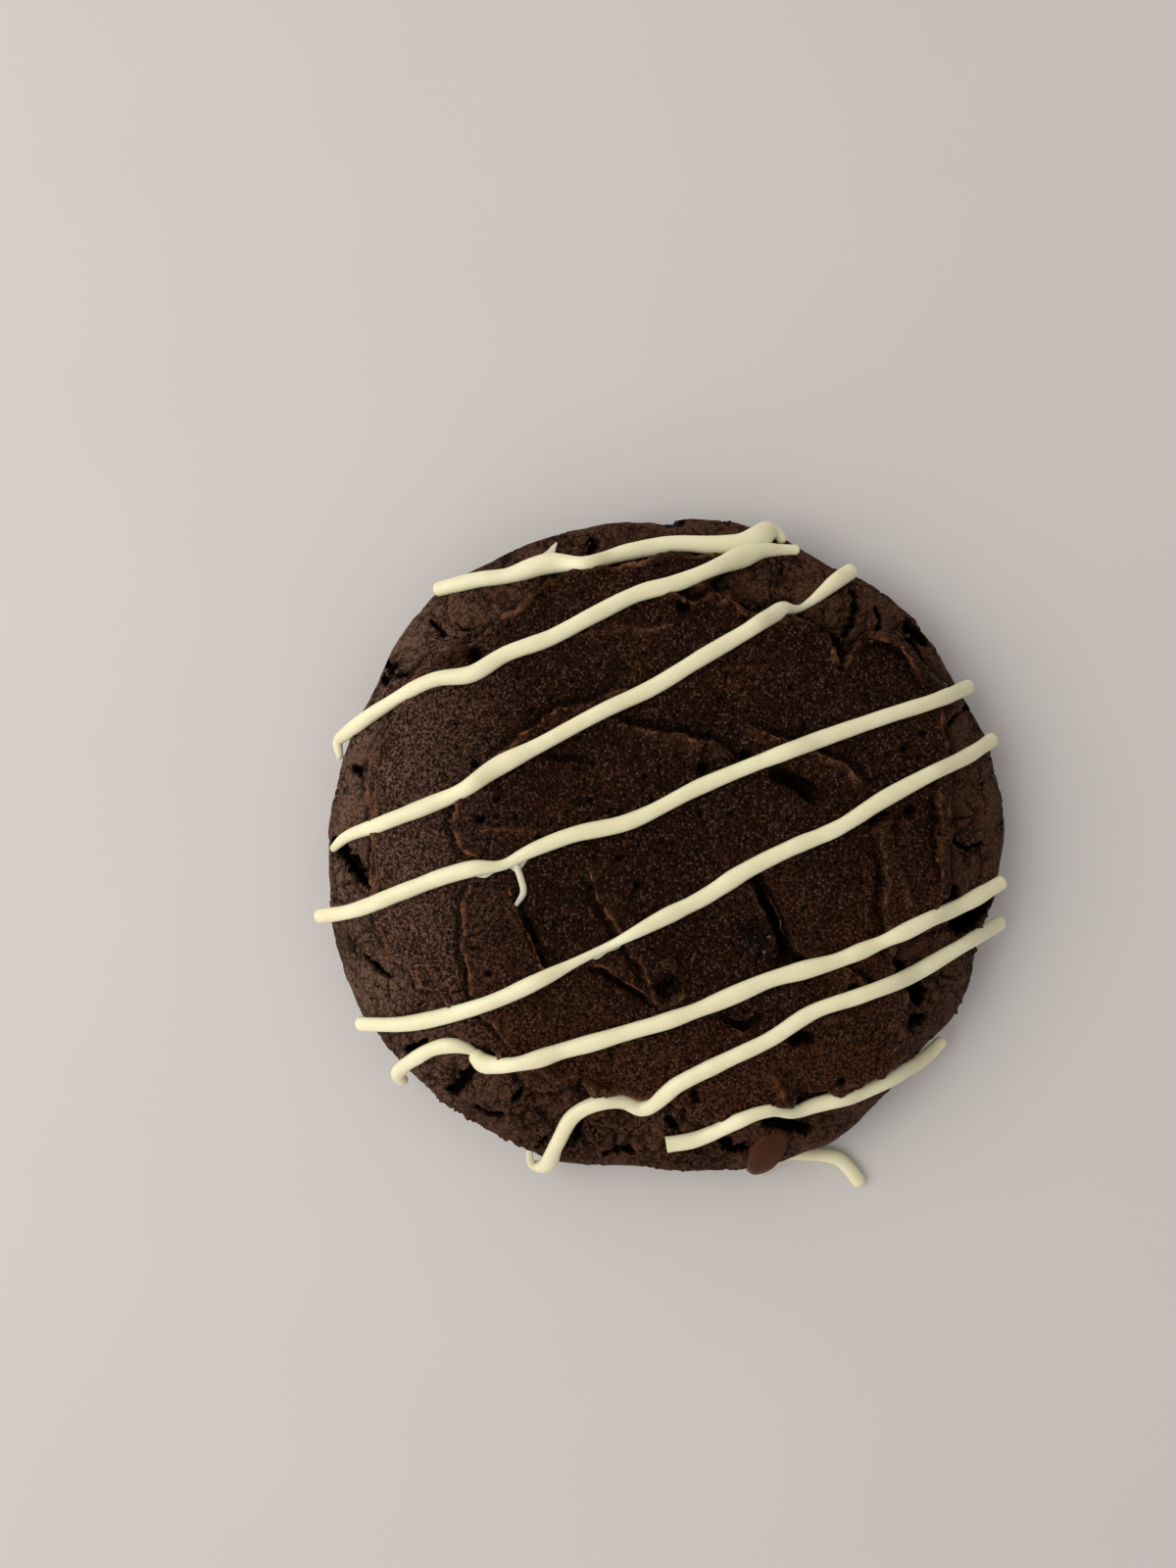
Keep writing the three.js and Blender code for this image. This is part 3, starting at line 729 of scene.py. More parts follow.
# %% Crumb relief by Geometry Nodes
CRACK_SHADE = 0.75  # how dark the painted shade in a crack is, with 1 for black
PORE_SHADE = 0.6
CRACK_BEND = 1.2 * MM  # how far noise bends the lines of the cracks
CRACK_WIDTH = 0.10  # share of a plate's width, on smooth crust
CRACK_WIDENING = 0.05  # what crumbly crust adds to it


def relief_tree():
    sizes = {
        "Lump Height": 0.8, "Lump Size": 4.0, "Chunk Height": 3.0, "Chunk Size": 1.6,
        "Crack Depth": 0.45, "Crack Cell": 2.0, "Pore Depth": 0.4, "Pore Cell": 1.25, "Seed": 1,
    }
    tree, given = new_geometry_tree("crumb_relief", sizes)
    place = add_node(tree, "GeometryNodeInputPosition").outputs[0]

    def scale_of(label):
        return maths(tree, "DIVIDE", 1.0 / MM, given[label])

    lumps = maths(tree, "SUBTRACT", noise_value(tree, place, scale_of("Lump Size"), seed=given["Seed"]), 0.5)
    rough = stored_value(tree, "rough")
    chunk_noise = noise_value(tree, place, scale_of("Chunk Size"), 3.0, 0.6, given["Seed"])
    chunks = maths(tree, "SUBTRACT", chunk_noise, 0.5)
    chunks = maths(tree, "MULTIPLY", chunks, rough)
    bent = add_node(tree, "ShaderNodeTexNoise", {"Vector": place, "Scale": 700.0}).outputs["Color"]
    shifted = vector_maths(tree, "ADD", place, vector_maths(tree, "SCALE", bent, CRACK_BEND))
    cells = {"Vector": shifted, "Scale": scale_of("Crack Cell")}
    net = add_node(tree, "ShaderNodeTexVoronoi", cells, feature="DISTANCE_TO_EDGE").outputs["Distance"]
    clusters = maths(tree, "MULTIPLY_ADD", rough, 0.07, noise_value(tree, place, 170.0, seed=7.0))
    crack_width = maths(tree, "MULTIPLY_ADD", rough, CRACK_WIDENING, CRACK_WIDTH)
    cracks = soft_step(tree, net, crack_width, 0.0)
    cracks = maths(tree, "MULTIPLY", cracks, soft_step(tree, clusters, 0.44, 0.60))
    pore_cells = {"Vector": place, "Scale": scale_of("Pore Cell")}
    pore_reach = add_node(tree, "ShaderNodeTexVoronoi", pore_cells, feature="F1").outputs["Distance"]
    pores = soft_step(tree, pore_reach, 0.26, 0.05)
    height = maths(tree, "MULTIPLY", lumps, given["Lump Height"])
    height = maths(tree, "MULTIPLY_ADD", chunks, given["Chunk Height"], height)
    height = maths(tree, "SUBTRACT", height, maths(tree, "MULTIPLY", cracks, given["Crack Depth"]))
    height = maths(tree, "SUBTRACT", height, maths(tree, "MULTIPLY", pores, given["Pore Depth"]))
    height = maths(tree, "MULTIPLY", maths(tree, "MULTIPLY", height, stored_value(tree, "free")), MM)
    # Painted shade: the finish darkens cracks and pores by these amounts.
    cracks = maths(tree, "MULTIPLY", cracks, CRACK_SHADE)
    pores = maths(tree, "MULTIPLY", pores, PORE_SHADE)
    darker = maths(tree, "MAXIMUM", cracks, pores)
    kept = {"Geometry": given["Geometry"], "Name": "crack", "Value": darker}
    marked = add_node(tree, "GeometryNodeStoreNamedAttribute", kept).outputs[0]
    end_tree(tree, pushed_out(tree, marked, height), crust_finish)
    return tree


CONTACT_SHADE = 0.9  # how much painted shadow darkens the crust right beside the frosting's edge
CONTACT_REACH = 0.55
CONTACT_PLACE = 0.3  # mm outside the edge
COVER_START = 1.5  # mm inside the edge, from where the crust is hidden
COVER_WIDTH = 3  # mm over which it sinks away
COVER_SINK = 0.6  # how far the hidden crust lies lower
FOOT_FADE = 1.2  # mm above the foot, over which the relief grows


def make_crust():
    rings = crust_rings()
    directions = outward(rings).reshape(-1, 3)
    points = rings.reshape(-1, 3)
    sinking, painted_shade = sink_marks(points)
    inside = edge_depth(points[:, :2])
    covered = rise((inside - COVER_START) / COVER_WIDTH) * (points[:, 2] > WIDEST_HEIGHT)
    free = rise(points[:, 2] / FOOT_FADE) * (1 - covered)
    raised = directions * (free * raise_lumps(points) - COVER_SINK * covered)[:, None]
    points = points + raised - sinking_directions(directions) * (free * sinking)[:, None]
    rough = roughness_of(points)
    poles = [[0, 0, DOME_RISE + WIDEST_HEIGHT - COVER_SINK], [0, 0, 0]]
    # Painted shadow on the crust right beside the frosting's edge, kept with the shade of the holes.
    beside = (edge_depth(points[:, :2]) + CONTACT_PLACE) / CONTACT_REACH
    shaded = CONTACT_SHADE * np.exp(-(beside**2))
    painted_shade = np.maximum(painted_shade, shaded * (points[:, 2] > WIDEST_HEIGHT))
    numbers = {"painted_shade": painted_shade * free, "free": free, "rough": rough, "dry": left_sheen_share(points)}
    stored = {label: np.append(values, [0, 0]) for label, values in numbers.items()}
    base = skin("crust_base", np.vstack([points, poles]), ring_faces(len(rings), CRUST_SIDES), **stored)
    return run_tree(base, relief_tree(), "cookie_crust", seed=3)


crust = make_crust()
hand_over(crust, "crust", "cookie")

# %% [markdown]
# ## The frosting's finish
#
# The frosting is butter, sugar and dark cocoa. It is nearly black-brown with a fine grain, browner where
# it is thin, and darker and glossy where it is still wet. A few grains are painted light as glints, the
# gaps between grains and the hollows are painted dark as shade, and the left side is painted paler as a
# sheen of the light from there. Torn lips are painted orange-brown, partly their own colour and partly
# painted light on walls that face the lamp.

# %% Frosting material
FROSTING_TONE = (0.034, 0.0112, 0.0049)
FROSTING_BROWN = (0.092, 0.0315, 0.0132)
FROSTING_LEFT_SHEEN = (0.165, 0.083, 0.056)
FROSTING_PALE = (0.30, 0.17, 0.125)
FROSTING_PAINTED_GLINT = (0.130, 0.075, 0.050)
FROSTING_LIP = (0.200, 0.082, 0.038)
# near black, for painted shade in gaps and hollows, and for darker wet frosting
FROSTING_BLACK = (0.0018, 0.0008, 0.0005)


def frosting_material():
    constants = {
        "Specular IOR Level": 0.045, "Specular Tint": WARM_GLOSS,
        "Coat Roughness": 0.18, "Coat Tint": WARM_GLOSS,
    }
    material, tree, shader, place = new_material("frosting", constants)
    broad = noise_value(tree, place, 80.0, detail=3.0)
    middle = noise_value(tree, place, 900.0, detail=3.0, roughness=0.6, seed=3.0)
    distance, chance = grain_cells(tree, place, 0.34)
    grain = soft_step(tree, distance, 0.78, 0.15)
    mottle = noise_value(tree, place, 2500.0, detail=3.0, roughness=0.65, seed=6.0)
    dry = attribute_value(tree, "dry")
    patchy = maths(tree, "MULTIPLY", soft_step(tree, broad, 0.42, 0.68), 0.45)
    brown = maths(tree, "MAXIMUM", patchy, attribute_value(tree, "brown"))
    tone = mix_colours(tree, brown, FROSTING_TONE, FROSTING_BROWN)
    # Painted sheen: the frosting is paler to the left, where the light comes from, with pale specks there.
    tone = mix_colours(tree, dry, tone, FROSTING_LEFT_SHEEN)
    pale = maths(tree, "MULTIPLY", dry, soft_step(tree, mottle, 0.54, 0.66))
    tone = mix_colours(tree, maths(tree, "MULTIPLY", pale, 0.85), tone, FROSTING_PALE)
    # Painted shade in the gaps between grains and in the low spots of the mottled bumps.
    between = maths(tree, "MULTIPLY", soft_step(tree, distance, 0.42, 0.75), 0.75)
    tone = mix_colours(tree, between, tone, FROSTING_BLACK)
    shade = maths(tree, "MULTIPLY", soft_step(tree, mottle, 0.55, 0.42), 0.85)
    tone = mix_colours(tree, shade, tone, FROSTING_BLACK)
    # Painted glints: a few grains are painted light as highlights, brighter on the left.
    glint = maths(tree, "MULTIPLY", soft_step(tree, chance, 0.66, 0.74), grain)
    bright = maths(tree, "MULTIPLY", glint, maths(tree, "MULTIPLY_ADD", dry, 0.4, 0.6))
    tone = mix_colours(tree, bright, tone, FROSTING_PAINTED_GLINT)
    # Torn lips are painted orange-brown: partly their own colour, partly painted light on walls facing the
    # lamp.
    torn = maths(tree, "MULTIPLY", attribute_value(tree, "lip"), soft_step(tree, middle, 0.34, 0.56))
    tone = mix_colours(tree, torn, tone, FROSTING_LIP)
    wet = attribute_value(tree, "wet")
    # Painted shade in furrows, pits and at the feet of ledges; wet frosting is also darker.
    hidden = maths(tree, "MAXIMUM", attribute_value(tree, "painted_shade"), maths(tree, "MULTIPLY", wet, 0.6))
    tone = mix_colours(tree, hidden, tone, FROSTING_BLACK)
    tree.links.new(tone, shader.inputs["Base Color"])
    tree.links.new(maths(tree, "MULTIPLY_ADD", glint, -0.22, 0.46), shader.inputs["Roughness"])
    streaks = soft_step(tree, noise_value(tree, place, 1300.0, seed=9.0), 0.56, 0.64)
    tree.links.new(maths(tree, "MULTIPLY", wet, streaks), shader.inputs["Coat Weight"])
    fine = add_bump(tree, grain, 0.15)
    fine = add_bump(tree, mottle, 0.30, fine)
    tree.links.new(add_bump(tree, middle, 0.50, fine), shader.inputs["Normal"])
    return material


frosting_finish = frosting_material()

# %% [markdown]
# ## Knife work in the frosting
#
# Each stroke of a knife leaves a plate of frosting. Where it stopped there is a ledge, with a thin lip
# that the blade pulled up. Between strokes there are ridges, furrows where the blade dug in, and pits
# from air in the frosting. Each is a given line, with its sizes in mm, and the height of the frosting is
# the sum of them all.

# %% Ledges, ridges, furrows and pits
BORDER_THICKNESS = 1.9
MIDDLE_THICKNESS = 2.7
EDGE_ROUNDING = 1.0
EDGE_LIP = 0.35
EDGE_LIP_PLACE, EDGE_LIP_WIDTH = 0.9, 0.55
EDGE_SINK = 0.45  # how far outside its edge the frosting's skin lies inside the crust
SKIRT_DROP = 3.4  # how much deeper it lies further out, below the holes of the crust

LEDGES = [  # step, fading reach and lip height in mm, higher on the left of the line as it runs
    (1.27, 9, 0.30, [(503, 790), (489, 797), (473, 811), (463, 832), (461, 844), (468, 853), (468, 865),
                     (478, 872), (489, 878)]),
    (1.10, 9, 0.27, [(482, 884), (480, 896), (476, 916), (473, 939), (473, 965), (478, 988), (481, 1001),
                     (481, 1018), (494, 1038), (508, 1052), (519, 1066), (528, 1078)]),
    (0.85, 6, 0.08, [(562, 1000), (553, 985), (545, 969), (535, 944), (528, 928), (520, 905)]),
    (0.77, 7, 0.24, [(598, 885), (602, 900), (607, 914), (621, 932), (630, 951), (641, 969), (655, 990),
                     (660, 999), (668, 1012)]),
    (1.02, 6, 0.45, [(776, 630), (769, 629), (746, 615), (728, 608), (709, 611), (686, 604), (674, 600)]),
    (0.77, 7, 0.21, [(640, 702), (618, 708), (602, 715), (572, 724), (549, 738), (531, 751), (501, 775)]),
    (0.77, 6, 0.27, [(896, 852), (898, 864), (903, 896), (901, 926), (905, 949), (910, 979), (911, 997)]),
    (0.77, 6, 0.18, [(891, 807), (878, 793), (861, 779), (840, 768), (808, 758), (785, 749), (762, 740)]),
    (0.59, 5, 0.18, [(895, 1014), (891, 1009), (878, 998), (868, 988), (858, 982)]),
    (0.51, 6, 0.18, [(755, 777), (751, 770), (739, 761), (716, 757), (690, 749), (653, 745), (630, 738)]),
    (0.59, 5, 0.15, [(600, 983), (630, 995), (653, 1011), (671, 1027)]),
    (0.51, 5, 0.18, [(955, 790), (958, 820), (960, 850), (962, 880), (963, 905)]),
    (0.59, 4, 0.24, [(870, 668), (882, 655), (902, 654), (922, 664), (936, 684), (948, 700)]),
    (0.51, 4, 0.18, [(384, 788), (380, 830), (382, 880), (383, 930), (392, 962), (398, 975)]),
    (0.77, 4, 0.27, [(420, 984), (424, 1000), (428, 1020), (425, 1032)]),
]
RIDGES = [  # half width and height in mm
    (0.34, 0.45, [(489, 847), (508, 846), (526, 848), (551, 851), (562, 853)]),
    (0.34, 0.42, [(584, 650), (607, 646), (630, 643), (665, 642), (690, 637)]),
    (0.46, 0.68, [(767, 902), (778, 926), (788, 947), (790, 972)]),
    (0.52, 0.75, [(779, 900), (790, 922), (799, 942), (808, 961), (820, 974), (838, 976)]),
    (0.37, 0.52, [(915, 873), (922, 903), (931, 926)]),
    (0.40, 0.60, [(667, 990), (673, 986), (684, 987), (692, 996), (697, 1010), (690, 1022), (676, 1026),
                  (667, 1016), (667, 1000)]),
    (0.57, 0.90, [(785, 1093), (793, 1104), (800, 1118), (808, 1133)]),
    (0.63, 0.83, [(520, 1086), (545, 1092), (570, 1102), (600, 1110), (630, 1118), (650, 1120)]),
    (0.46, 0.68, [(558, 1098), (590, 1103), (620, 1112)]),
    (0.46, 0.68, [(942, 812), (950, 808), (960, 815), (966, 820)]),
    (0.40, 0.60, [(896, 846), (905, 850), (915, 858)]),
    (0.52, 0.75, [(505, 628), (520, 622), (540, 610), (560, 590), (572, 584)]),
    (0.46, 0.60, [(440, 676), (462, 664), (480, 668), (474, 678)]),
    (0.40, 0.52, [(408, 725), (398, 745), (388, 765), (382, 785)]),
    (0.46, 0.60, [(700, 600), (715, 597), (735, 612), (750, 620)]),
    (0.40, 0.52, [(735, 1040), (746, 1050), (762, 1052), (775, 1044)]),
    (0.34, 0.52, [(840, 1042), (862, 1040), (878, 1046)]),
    (0.46, 0.68, [(905, 1052), (915, 1046), (922, 1056), (918, 1068), (905, 1078)]),
    (0.40, 0.52, [(872, 990), (884, 980), (897, 976)]),
]
FURROWS = [  # half width and depth in mm
    (1.45, 0.90, [(678, 995), (682, 1003), (688, 1016)]),
    (0.80, 2.20, [(770, 892), (778, 908), (787, 928), (796, 948), (803, 966), (800, 985)]),
    (0.83, 1.49, [(785, 786), (798, 792), (812, 799), (826, 808), (838, 815)]),
    (0.44, 0.68, [(600, 985), (630, 997), (653, 1013), (671, 1029)]),
    (0.39, 0.68, [(533, 935), (542, 952), (550, 972), (556, 984)]),
    (0.88, 1.22, [(430, 1014), (442, 1020), (452, 1026)]),
    (0.33, 0.54, [(622, 726), (650, 735), (690, 742), (720, 750)]),
    (0.55, 1.08, [(736, 1036), (748, 1046), (766, 1046), (778, 1036)]),
    (0.50, 0.94, [(806, 968), (820, 982), (836, 984)]),
    (0.50, 0.81, [(745, 765), (752, 775), (765, 775)]),
    (0.44, 0.68, [(560, 772), (585, 775), (604, 774)]),
    (0.39, 0.68, [(940, 938), (930, 948), (915, 955)]),
    (0.39, 0.68, [(575, 1126), (600, 1130)]),
]
PITS = [  # radius and depth in mm
    (1.00, 1.7, (483, 668)), (0.80, 1.2, (718, 784)), (0.70, 1.0, (762, 770)),
    (0.35, 0.6, (508, 816)), (0.30, 0.5, (508, 832)), (0.30, 0.5, (526, 835)), (0.38, 0.6, (591, 784)),
    (0.35, 0.6, (605, 778)), (0.35, 0.6, (602, 816)), (0.40, 0.6, (658, 791)), (0.35, 0.5, (665, 817)),
    (0.45, 0.6, (714, 830)), (0.40, 0.6, (746, 830)), (0.50, 0.8, (924, 764)), (0.40, 0.6, (943, 748)),
    (0.45, 0.6, (822, 741)), (0.90, 1.2, (698, 618)), (0.85, 1.3, (895, 838)), (0.60, 1.1, (904, 833)),
    (0.70, 1.1, (931, 828)), (1.05, 1.9, (815, 1060)), (0.90, 1.9, (827, 1061)), (0.80, 1.6, (820, 1119)),
    (0.50, 1.0, (861, 1106)), (0.60, 1.0, (873, 1009)), (0.45, 0.9, (711, 1125)), (0.35, 0.7, (500, 993)),
    (0.70, 1.1, (714, 1152)), (0.55, 0.9, (709, 1118)), (0.60, 0.9, (491, 836)), (0.50, 0.9, (551, 853)),
    (0.40, 0.6, (632, 876)), (0.45, 0.7, (651, 904)), (0.50, 0.8, (485, 780)), (0.50, 0.7, (860, 680)),
]
RUFFLED_PATCHES = [  # radius, relief height and lump size in mm, how wet it is, and the place
    (3.2, 0.40, 1.0, 1.0, (768, 950)), (2.4, 0.35, 0.9, 0.8, (785, 975)), (2.6, 0.30, 0.9, 0.5, (682, 1006)),
    (4.5, 0.35, 1.4, 0.0, (735, 605)), (3.5, 0.35, 1.1, 0.2, (800, 1045)), (5.0, 0.40, 1.3, 0.1, (905, 1050)),
    (4.5, 0.30, 1.2, 0.0, (590, 1110)), (3.5, 0.30, 1.0, 0.0, (478, 670)), (3.0, 0.30, 1.0, 0.0, (920, 830)),
    (4.0, 0.22, 0.9, 0.2, (710, 742)), (3.5, 0.25, 0.9, 0.3, (575, 905)), (3.2, 0.35, 1.2, 0.0, (508, 1072)),
    (4.0, 0.25, 1.2, 0.0, (500, 770)), (3.0, 0.30, 1.1, 0.0, (707, 1135)), (3.0, 0.30, 1.0, 0.0, (440, 1015)),
]
STREAKED_PATCHES = [  # radius and height in mm, direction in degrees from +X, and the place
    (9.0, 0.10, 100, (430, 900)), (8.0, 0.10, 20, (560, 700)), (9.0, 0.08, 25, (760, 700)),
    (7.0, 0.09, 150, (890, 700)), (8.0, 0.08, 20, (640, 800)), (7.0, 0.09, 115, (690, 930)),
    (7.0, 0.09, 105, (850, 920)), (8.0, 0.08, 30, (620, 1050)), (6.0, 0.10, 160, (820, 1090)),
    (6.0, 0.10, 95, (930, 890)), (8.0, 0.09, 35, (450, 740)), (6.0, 0.09, 100, (510, 950)),
]
SMALL_PITS = 260
SMALL_PIT_SIZES = (0.14, 0.30)
SMALL_PIT_DEPTH = 1.6  # times its radius
SMALL_PIT_REACH = 0.85  # share of the cookie's radius out to which they lie
LINE_STEP = 0.6


def on_frosting(places):
    return place_on(lambda points: dome_height(points) + MIDDLE_THICKNESS, places)[:, :2]


def worked_line(places):
    return smooth_line(on_frosting(places), LINE_STEP)


def with_centres(patches):
    """The patches with their place in the picture, which comes last, turned into a point."""
    centres = on_frosting([patch[-1] for patch in patches])
    return [(*patch[:-1], centre) for patch, centre in zip(patches, centres)]


ledge_lines = [(*sizes, worked_line(places)) for *sizes, places in LEDGES]
ridge_lines = [(*sizes, worked_line(places)) for *sizes, places in RIDGES]
furrow_lines = [(*sizes, worked_line(places)) for *sizes, places in FURROWS]
ruffled = with_centres(RUFFLED_PATCHES)
streaked = with_centres(STREAKED_PATCHES)


def all_pits():
    """The listed pits, and many small ones from a fixed draw."""
    chosen = with_centres(PITS)
    draw = np.random.default_rng(17)
    for _ in range(SMALL_PITS):
        turn, share = draw.uniform(0, 2 * np.pi), draw.uniform() ** 0.5
        radius = draw.uniform(*SMALL_PIT_SIZES)
        reach = SMALL_PIT_REACH * share * COOKIE_RADIUS
        place = np.array([reach * np.cos(turn), reach * np.sin(turn)])
        chosen.append((radius, SMALL_PIT_DEPTH * radius, place))
    return chosen


frosting_pits = all_pits()


# %% [markdown]
# The thickness of the frosting is worked out at any point of the cookie, and so is how much lip colour,
# painted shade or wetness is there. The mesh of the frosting and the route of every strand that lies on it
# use the same rule, and so they fit.

# %% Thickness of the frosting
LEDGE_WALL = 0.40  # width of the torn wall of a ledge
LIP_FADE = 0.6  # how far the lip colour, part torn colour and part painted light, reaches from the wall over the plate
TEAR_DEPTH = 0.30  # how far the surface of a tear stands in or out
LEDGE_RAGS = 1.3  # how ragged the line of a ledge is, of a ridge, and of a furrow
RIDGE_RAGS = 1.1
FURROW_RAGS = 0.8
CREST_PLACE, CREST_WIDTH = 0.45, 0.40  # of a ledge's lip, on the plate
FOOT_PLACE, FOOT_WIDTH = 0.60, 0.50  # of the shaded hollow below the ledge
FOOT_DEPTH = 0.2


def frosting_raggedness(points):
    """How far in mm a torn line lies beside the smooth line that was chosen for it."""
    return 0.26 * noise(points, 1.9, seed=81) + 0.20 * noise(points, 0.8, seed=82)


def add_ledges(points, ragged, thickness, lip, painted_shade):
    for step, reach, lip_height, line in ledge_lines:
        picked, distance, side, share = near_line(points, line, 2.5 * reach)
        across = side * distance + LEDGE_RAGS * ragged[picked]
        ends = np.sin(np.pi * np.clip(share, 0, 1)) ** 0.4
        torn = rough_noise(points[picked], 0.9, seed=45, octaves=2)
        high = rise(across / LEDGE_WALL + 0.5)
        wall = 4 * high * (1 - high) * ends
        crest = np.exp(-(((across - CREST_PLACE) / CREST_WIDTH) ** 2)) * ends
        foot = np.exp(-(((across + FOOT_PLACE) / FOOT_WIDTH) ** 2)) * ends
        fading = rise(across / 0.3 + 0.7) * np.exp(-np.clip(across, 0, None) / LIP_FADE) * ends
        raised = lip_height * crest * (1.3 + torn) + TEAR_DEPTH * wall * torn - FOOT_DEPTH * foot
        thickness[picked] += step * high * np.exp(-np.abs(across) / reach) * ends
        thickness[picked] += raised
        lip[picked] = np.maximum(lip[picked], fading * np.clip(0.35 + 0.6 * torn, 0, 1))
        # Painted shade in the hollow at the foot of the ledge.
        painted_shade[picked] = np.maximum(painted_shade[picked], 0.85 * foot)


def add_ridges(points, ragged, thickness, lip):
    for half_width, height, line in ridge_lines:
        picked, distance, side, share = near_line(points, line, 4 * half_width)
        across = (side * distance + RIDGE_RAGS * ragged[picked]) / half_width
        ends = np.sin(np.pi * np.clip(share, 0, 1)) ** 0.5
        torn = rough_noise(points[picked], 1.0, seed=43, octaves=2)
        crest = np.exp(-(across**2)) * ends * np.clip(0.9 + 0.9 * torn, 0.1, None)
        thickness[picked] += height * crest
        lip[picked] = np.maximum(lip[picked], 0.45 * np.clip(crest, 0, 1))


def cut_furrows(points, ragged, thickness, painted_shade):
    for half_width, depth, line in furrow_lines:
        picked, distance, side, share = near_line(points, line, 3 * half_width)
        across = np.abs(side * distance + FURROW_RAGS * ragged[picked]) / half_width
        ends = np.sin(np.pi * np.clip(share, 0, 1)) ** 0.4
        cut = rise(2.0 * (1.25 - across)) * ends
        thickness[picked] -= depth * cut
        # The furrow is painted black with shade, a little wider than its cut.
        black = rise(2.0 * (1.5 - across)) * ends * rise(depth / 1.2)
        painted_shade[picked] = np.maximum(painted_shade[picked], black)


def sink_pits(points, ragged, thickness, painted_shade):
    for radius, depth, place in frosting_pits:
        near = np.flatnonzero((np.abs(points - place) < 2 * radius + 0.3).all(1))
        distance = np.hypot(*(points[near] - place).T) + 0.7 * radius * ragged[near]
        cut = rise(1.5 - 1.1 * distance / radius)
        thickness[near] -= depth * cut
        # Deeper pits are painted darker, as shade.
        painted_shade[near] = np.maximum(painted_shade[near], cut * rise(depth / 0.8))


def ruffle_patches(points, thickness, wet):
    for radius, height, lump, wetness, centre in ruffled:
        near = np.flatnonzero((np.abs(points - centre) < radius).all(1))
        here = points[near]
        amount = rise(1.4 * (1 - np.hypot(*(here - centre).T) / radius))
        folds = 0.7 - 2 * np.abs(noise(here, 1.5 * lump, seed=55))
        relief = rough_noise(here, lump, seed=51) + folds
        thickness[near] += height * amount * relief
        wet[near] = np.maximum(wet[near], wetness * amount)


def streak_patches(points, thickness):
    for radius, height, direction, centre in streaked:
        near = np.flatnonzero((np.abs(points - centre) < radius).all(1))
        here = points[near] - centre
        turn = np.radians(direction)
        along = here @ [np.cos(turn), np.sin(turn)]
        across = here @ [-np.sin(turn), np.cos(turn)]
        amount = rise(1.3 * (1 - np.hypot(along, across) / radius))
        streaks = rough_noise(np.column_stack([along / 7, across]), 0.9, seed=61, octaves=2)
        thickness[near] += height * amount * streaks


def frosting_at(points):
    """Thickness of the frosting in mm, and its lip colour, painted shade and wet values from 0 to 1."""
    depth = edge_depth(points)
    body = BORDER_THICKNESS + (MIDDLE_THICKNESS - BORDER_THICKNESS) * rise(depth / 14)
    body = body + 0.22 * rough_noise(points, 7.0, seed=71, octaves=2) + 0.05 * noise(points, 1.5, seed=75)
    lip, painted_shade, wet = np.zeros((3, len(points)))
    ragged = frosting_raggedness(points)
    add_ledges(points, ragged, body, lip, painted_shade)
    add_ridges(points, ragged, body, lip)
    cut_furrows(points, ragged, body, painted_shade)
    sink_pits(points, ragged, body, painted_shade)
    ruffle_patches(points, body, wet)
    streak_patches(points, body)
    uneven = np.clip(0.5 + noise(points, 3.2, seed=77), 0, None)
    body += EDGE_LIP * uneven * np.exp(-(((depth - EDGE_LIP_PLACE) / EDGE_LIP_WIDTH) ** 2))
    inward = np.clip(depth / EDGE_ROUNDING, 0, 1)
    rounding = np.sqrt(inward * (2 - inward))
    shown = rise(depth / 0.25)
    hidden = EDGE_SINK + SKIRT_DROP * rise((-depth - 0.4) / 1.2)
    thickness = body * (0.22 + 0.78 * rounding) * shown - hidden * (1 - shown)
    lip = np.maximum(lip, np.exp(-(((depth - 0.3) / 0.35) ** 2)) * (0.5 + 0.5 * noise(points, 3.0, seed=85)))
    return thickness, np.clip(lip, 0, 1), painted_shade, wet


MAP_STEP = 0.4  # of the map of heights on which the strands find what carries them
map_stops = np.arange(-50, 50, MAP_STEP)


def height_map():
    """Height of the highest food, frosting or crust, on a square map."""
    across, up = np.meshgrid(map_stops, map_stops)
    points = np.column_stack([across.ravel(), up.ravel()])
    heights = dome_height(points) + np.maximum(frosting_at(points)[0], 0)
    return heights.reshape(across.shape)


food_map = height_map()


def top_height(points):
    """Height of the highest food at points, between the corners of the map."""
    cells = (points - map_stops[0]) / MAP_STEP
    corner = np.clip(np.floor(cells).astype(int), 0, len(map_stops) - 2)
    share_x, share_y = (cells - corner).T
    x, y = corner.T
    low = food_map[y, x] * (1 - share_x) + food_map[y, x + 1] * share_x
    high = food_map[y + 1, x] * (1 - share_x) + food_map[y + 1, x + 1] * share_x
    return low * (1 - share_y) + high * share_y


print("highest food in mm:", round(food_map.max(), 2))


# %% [markdown]
# ## The frosting's mesh
#
# The frosting is one sheet of fine squares, bent from a square into a disc so that no cell is drawn to
# a point. It reaches a little past its torn edge and dips into the crust there, so that the edge shows
# as a clean line on the crust. A rim and an underside inside the crust close the body.

# %% Frosting piece
FROSTING_CELLS = 296
SPREAD_MARGIN = 1.2
BOTTOM_SHARES = [0.75, 0.45, 0.2]
BOTTOM_DEPTH = 4.4
GRID_CROWDING = 0.2  # how much closer together the cells lie near the edge


def disc_grid(cells):
    """Ring shares from 0 to 1 and angles of a square grid that is bent into a disc."""
    steps = np.linspace(-1, 1, cells + 1)
    across, up = np.meshgrid(steps, steps)
    wide = np.abs(across) > np.abs(up)
    safe_across = np.where(wide, across, 1)
    safe_up = np.where(wide | (up == 0), 1, up)
    angle = np.where(wide, np.pi / 4 * up / safe_across, np.pi / 2 - np.pi / 4 * across / safe_up)
    angle = np.where(np.where(wide, across, up) < 0, angle + np.pi, angle)
    return np.maximum(np.abs(across), np.abs(up)), angle


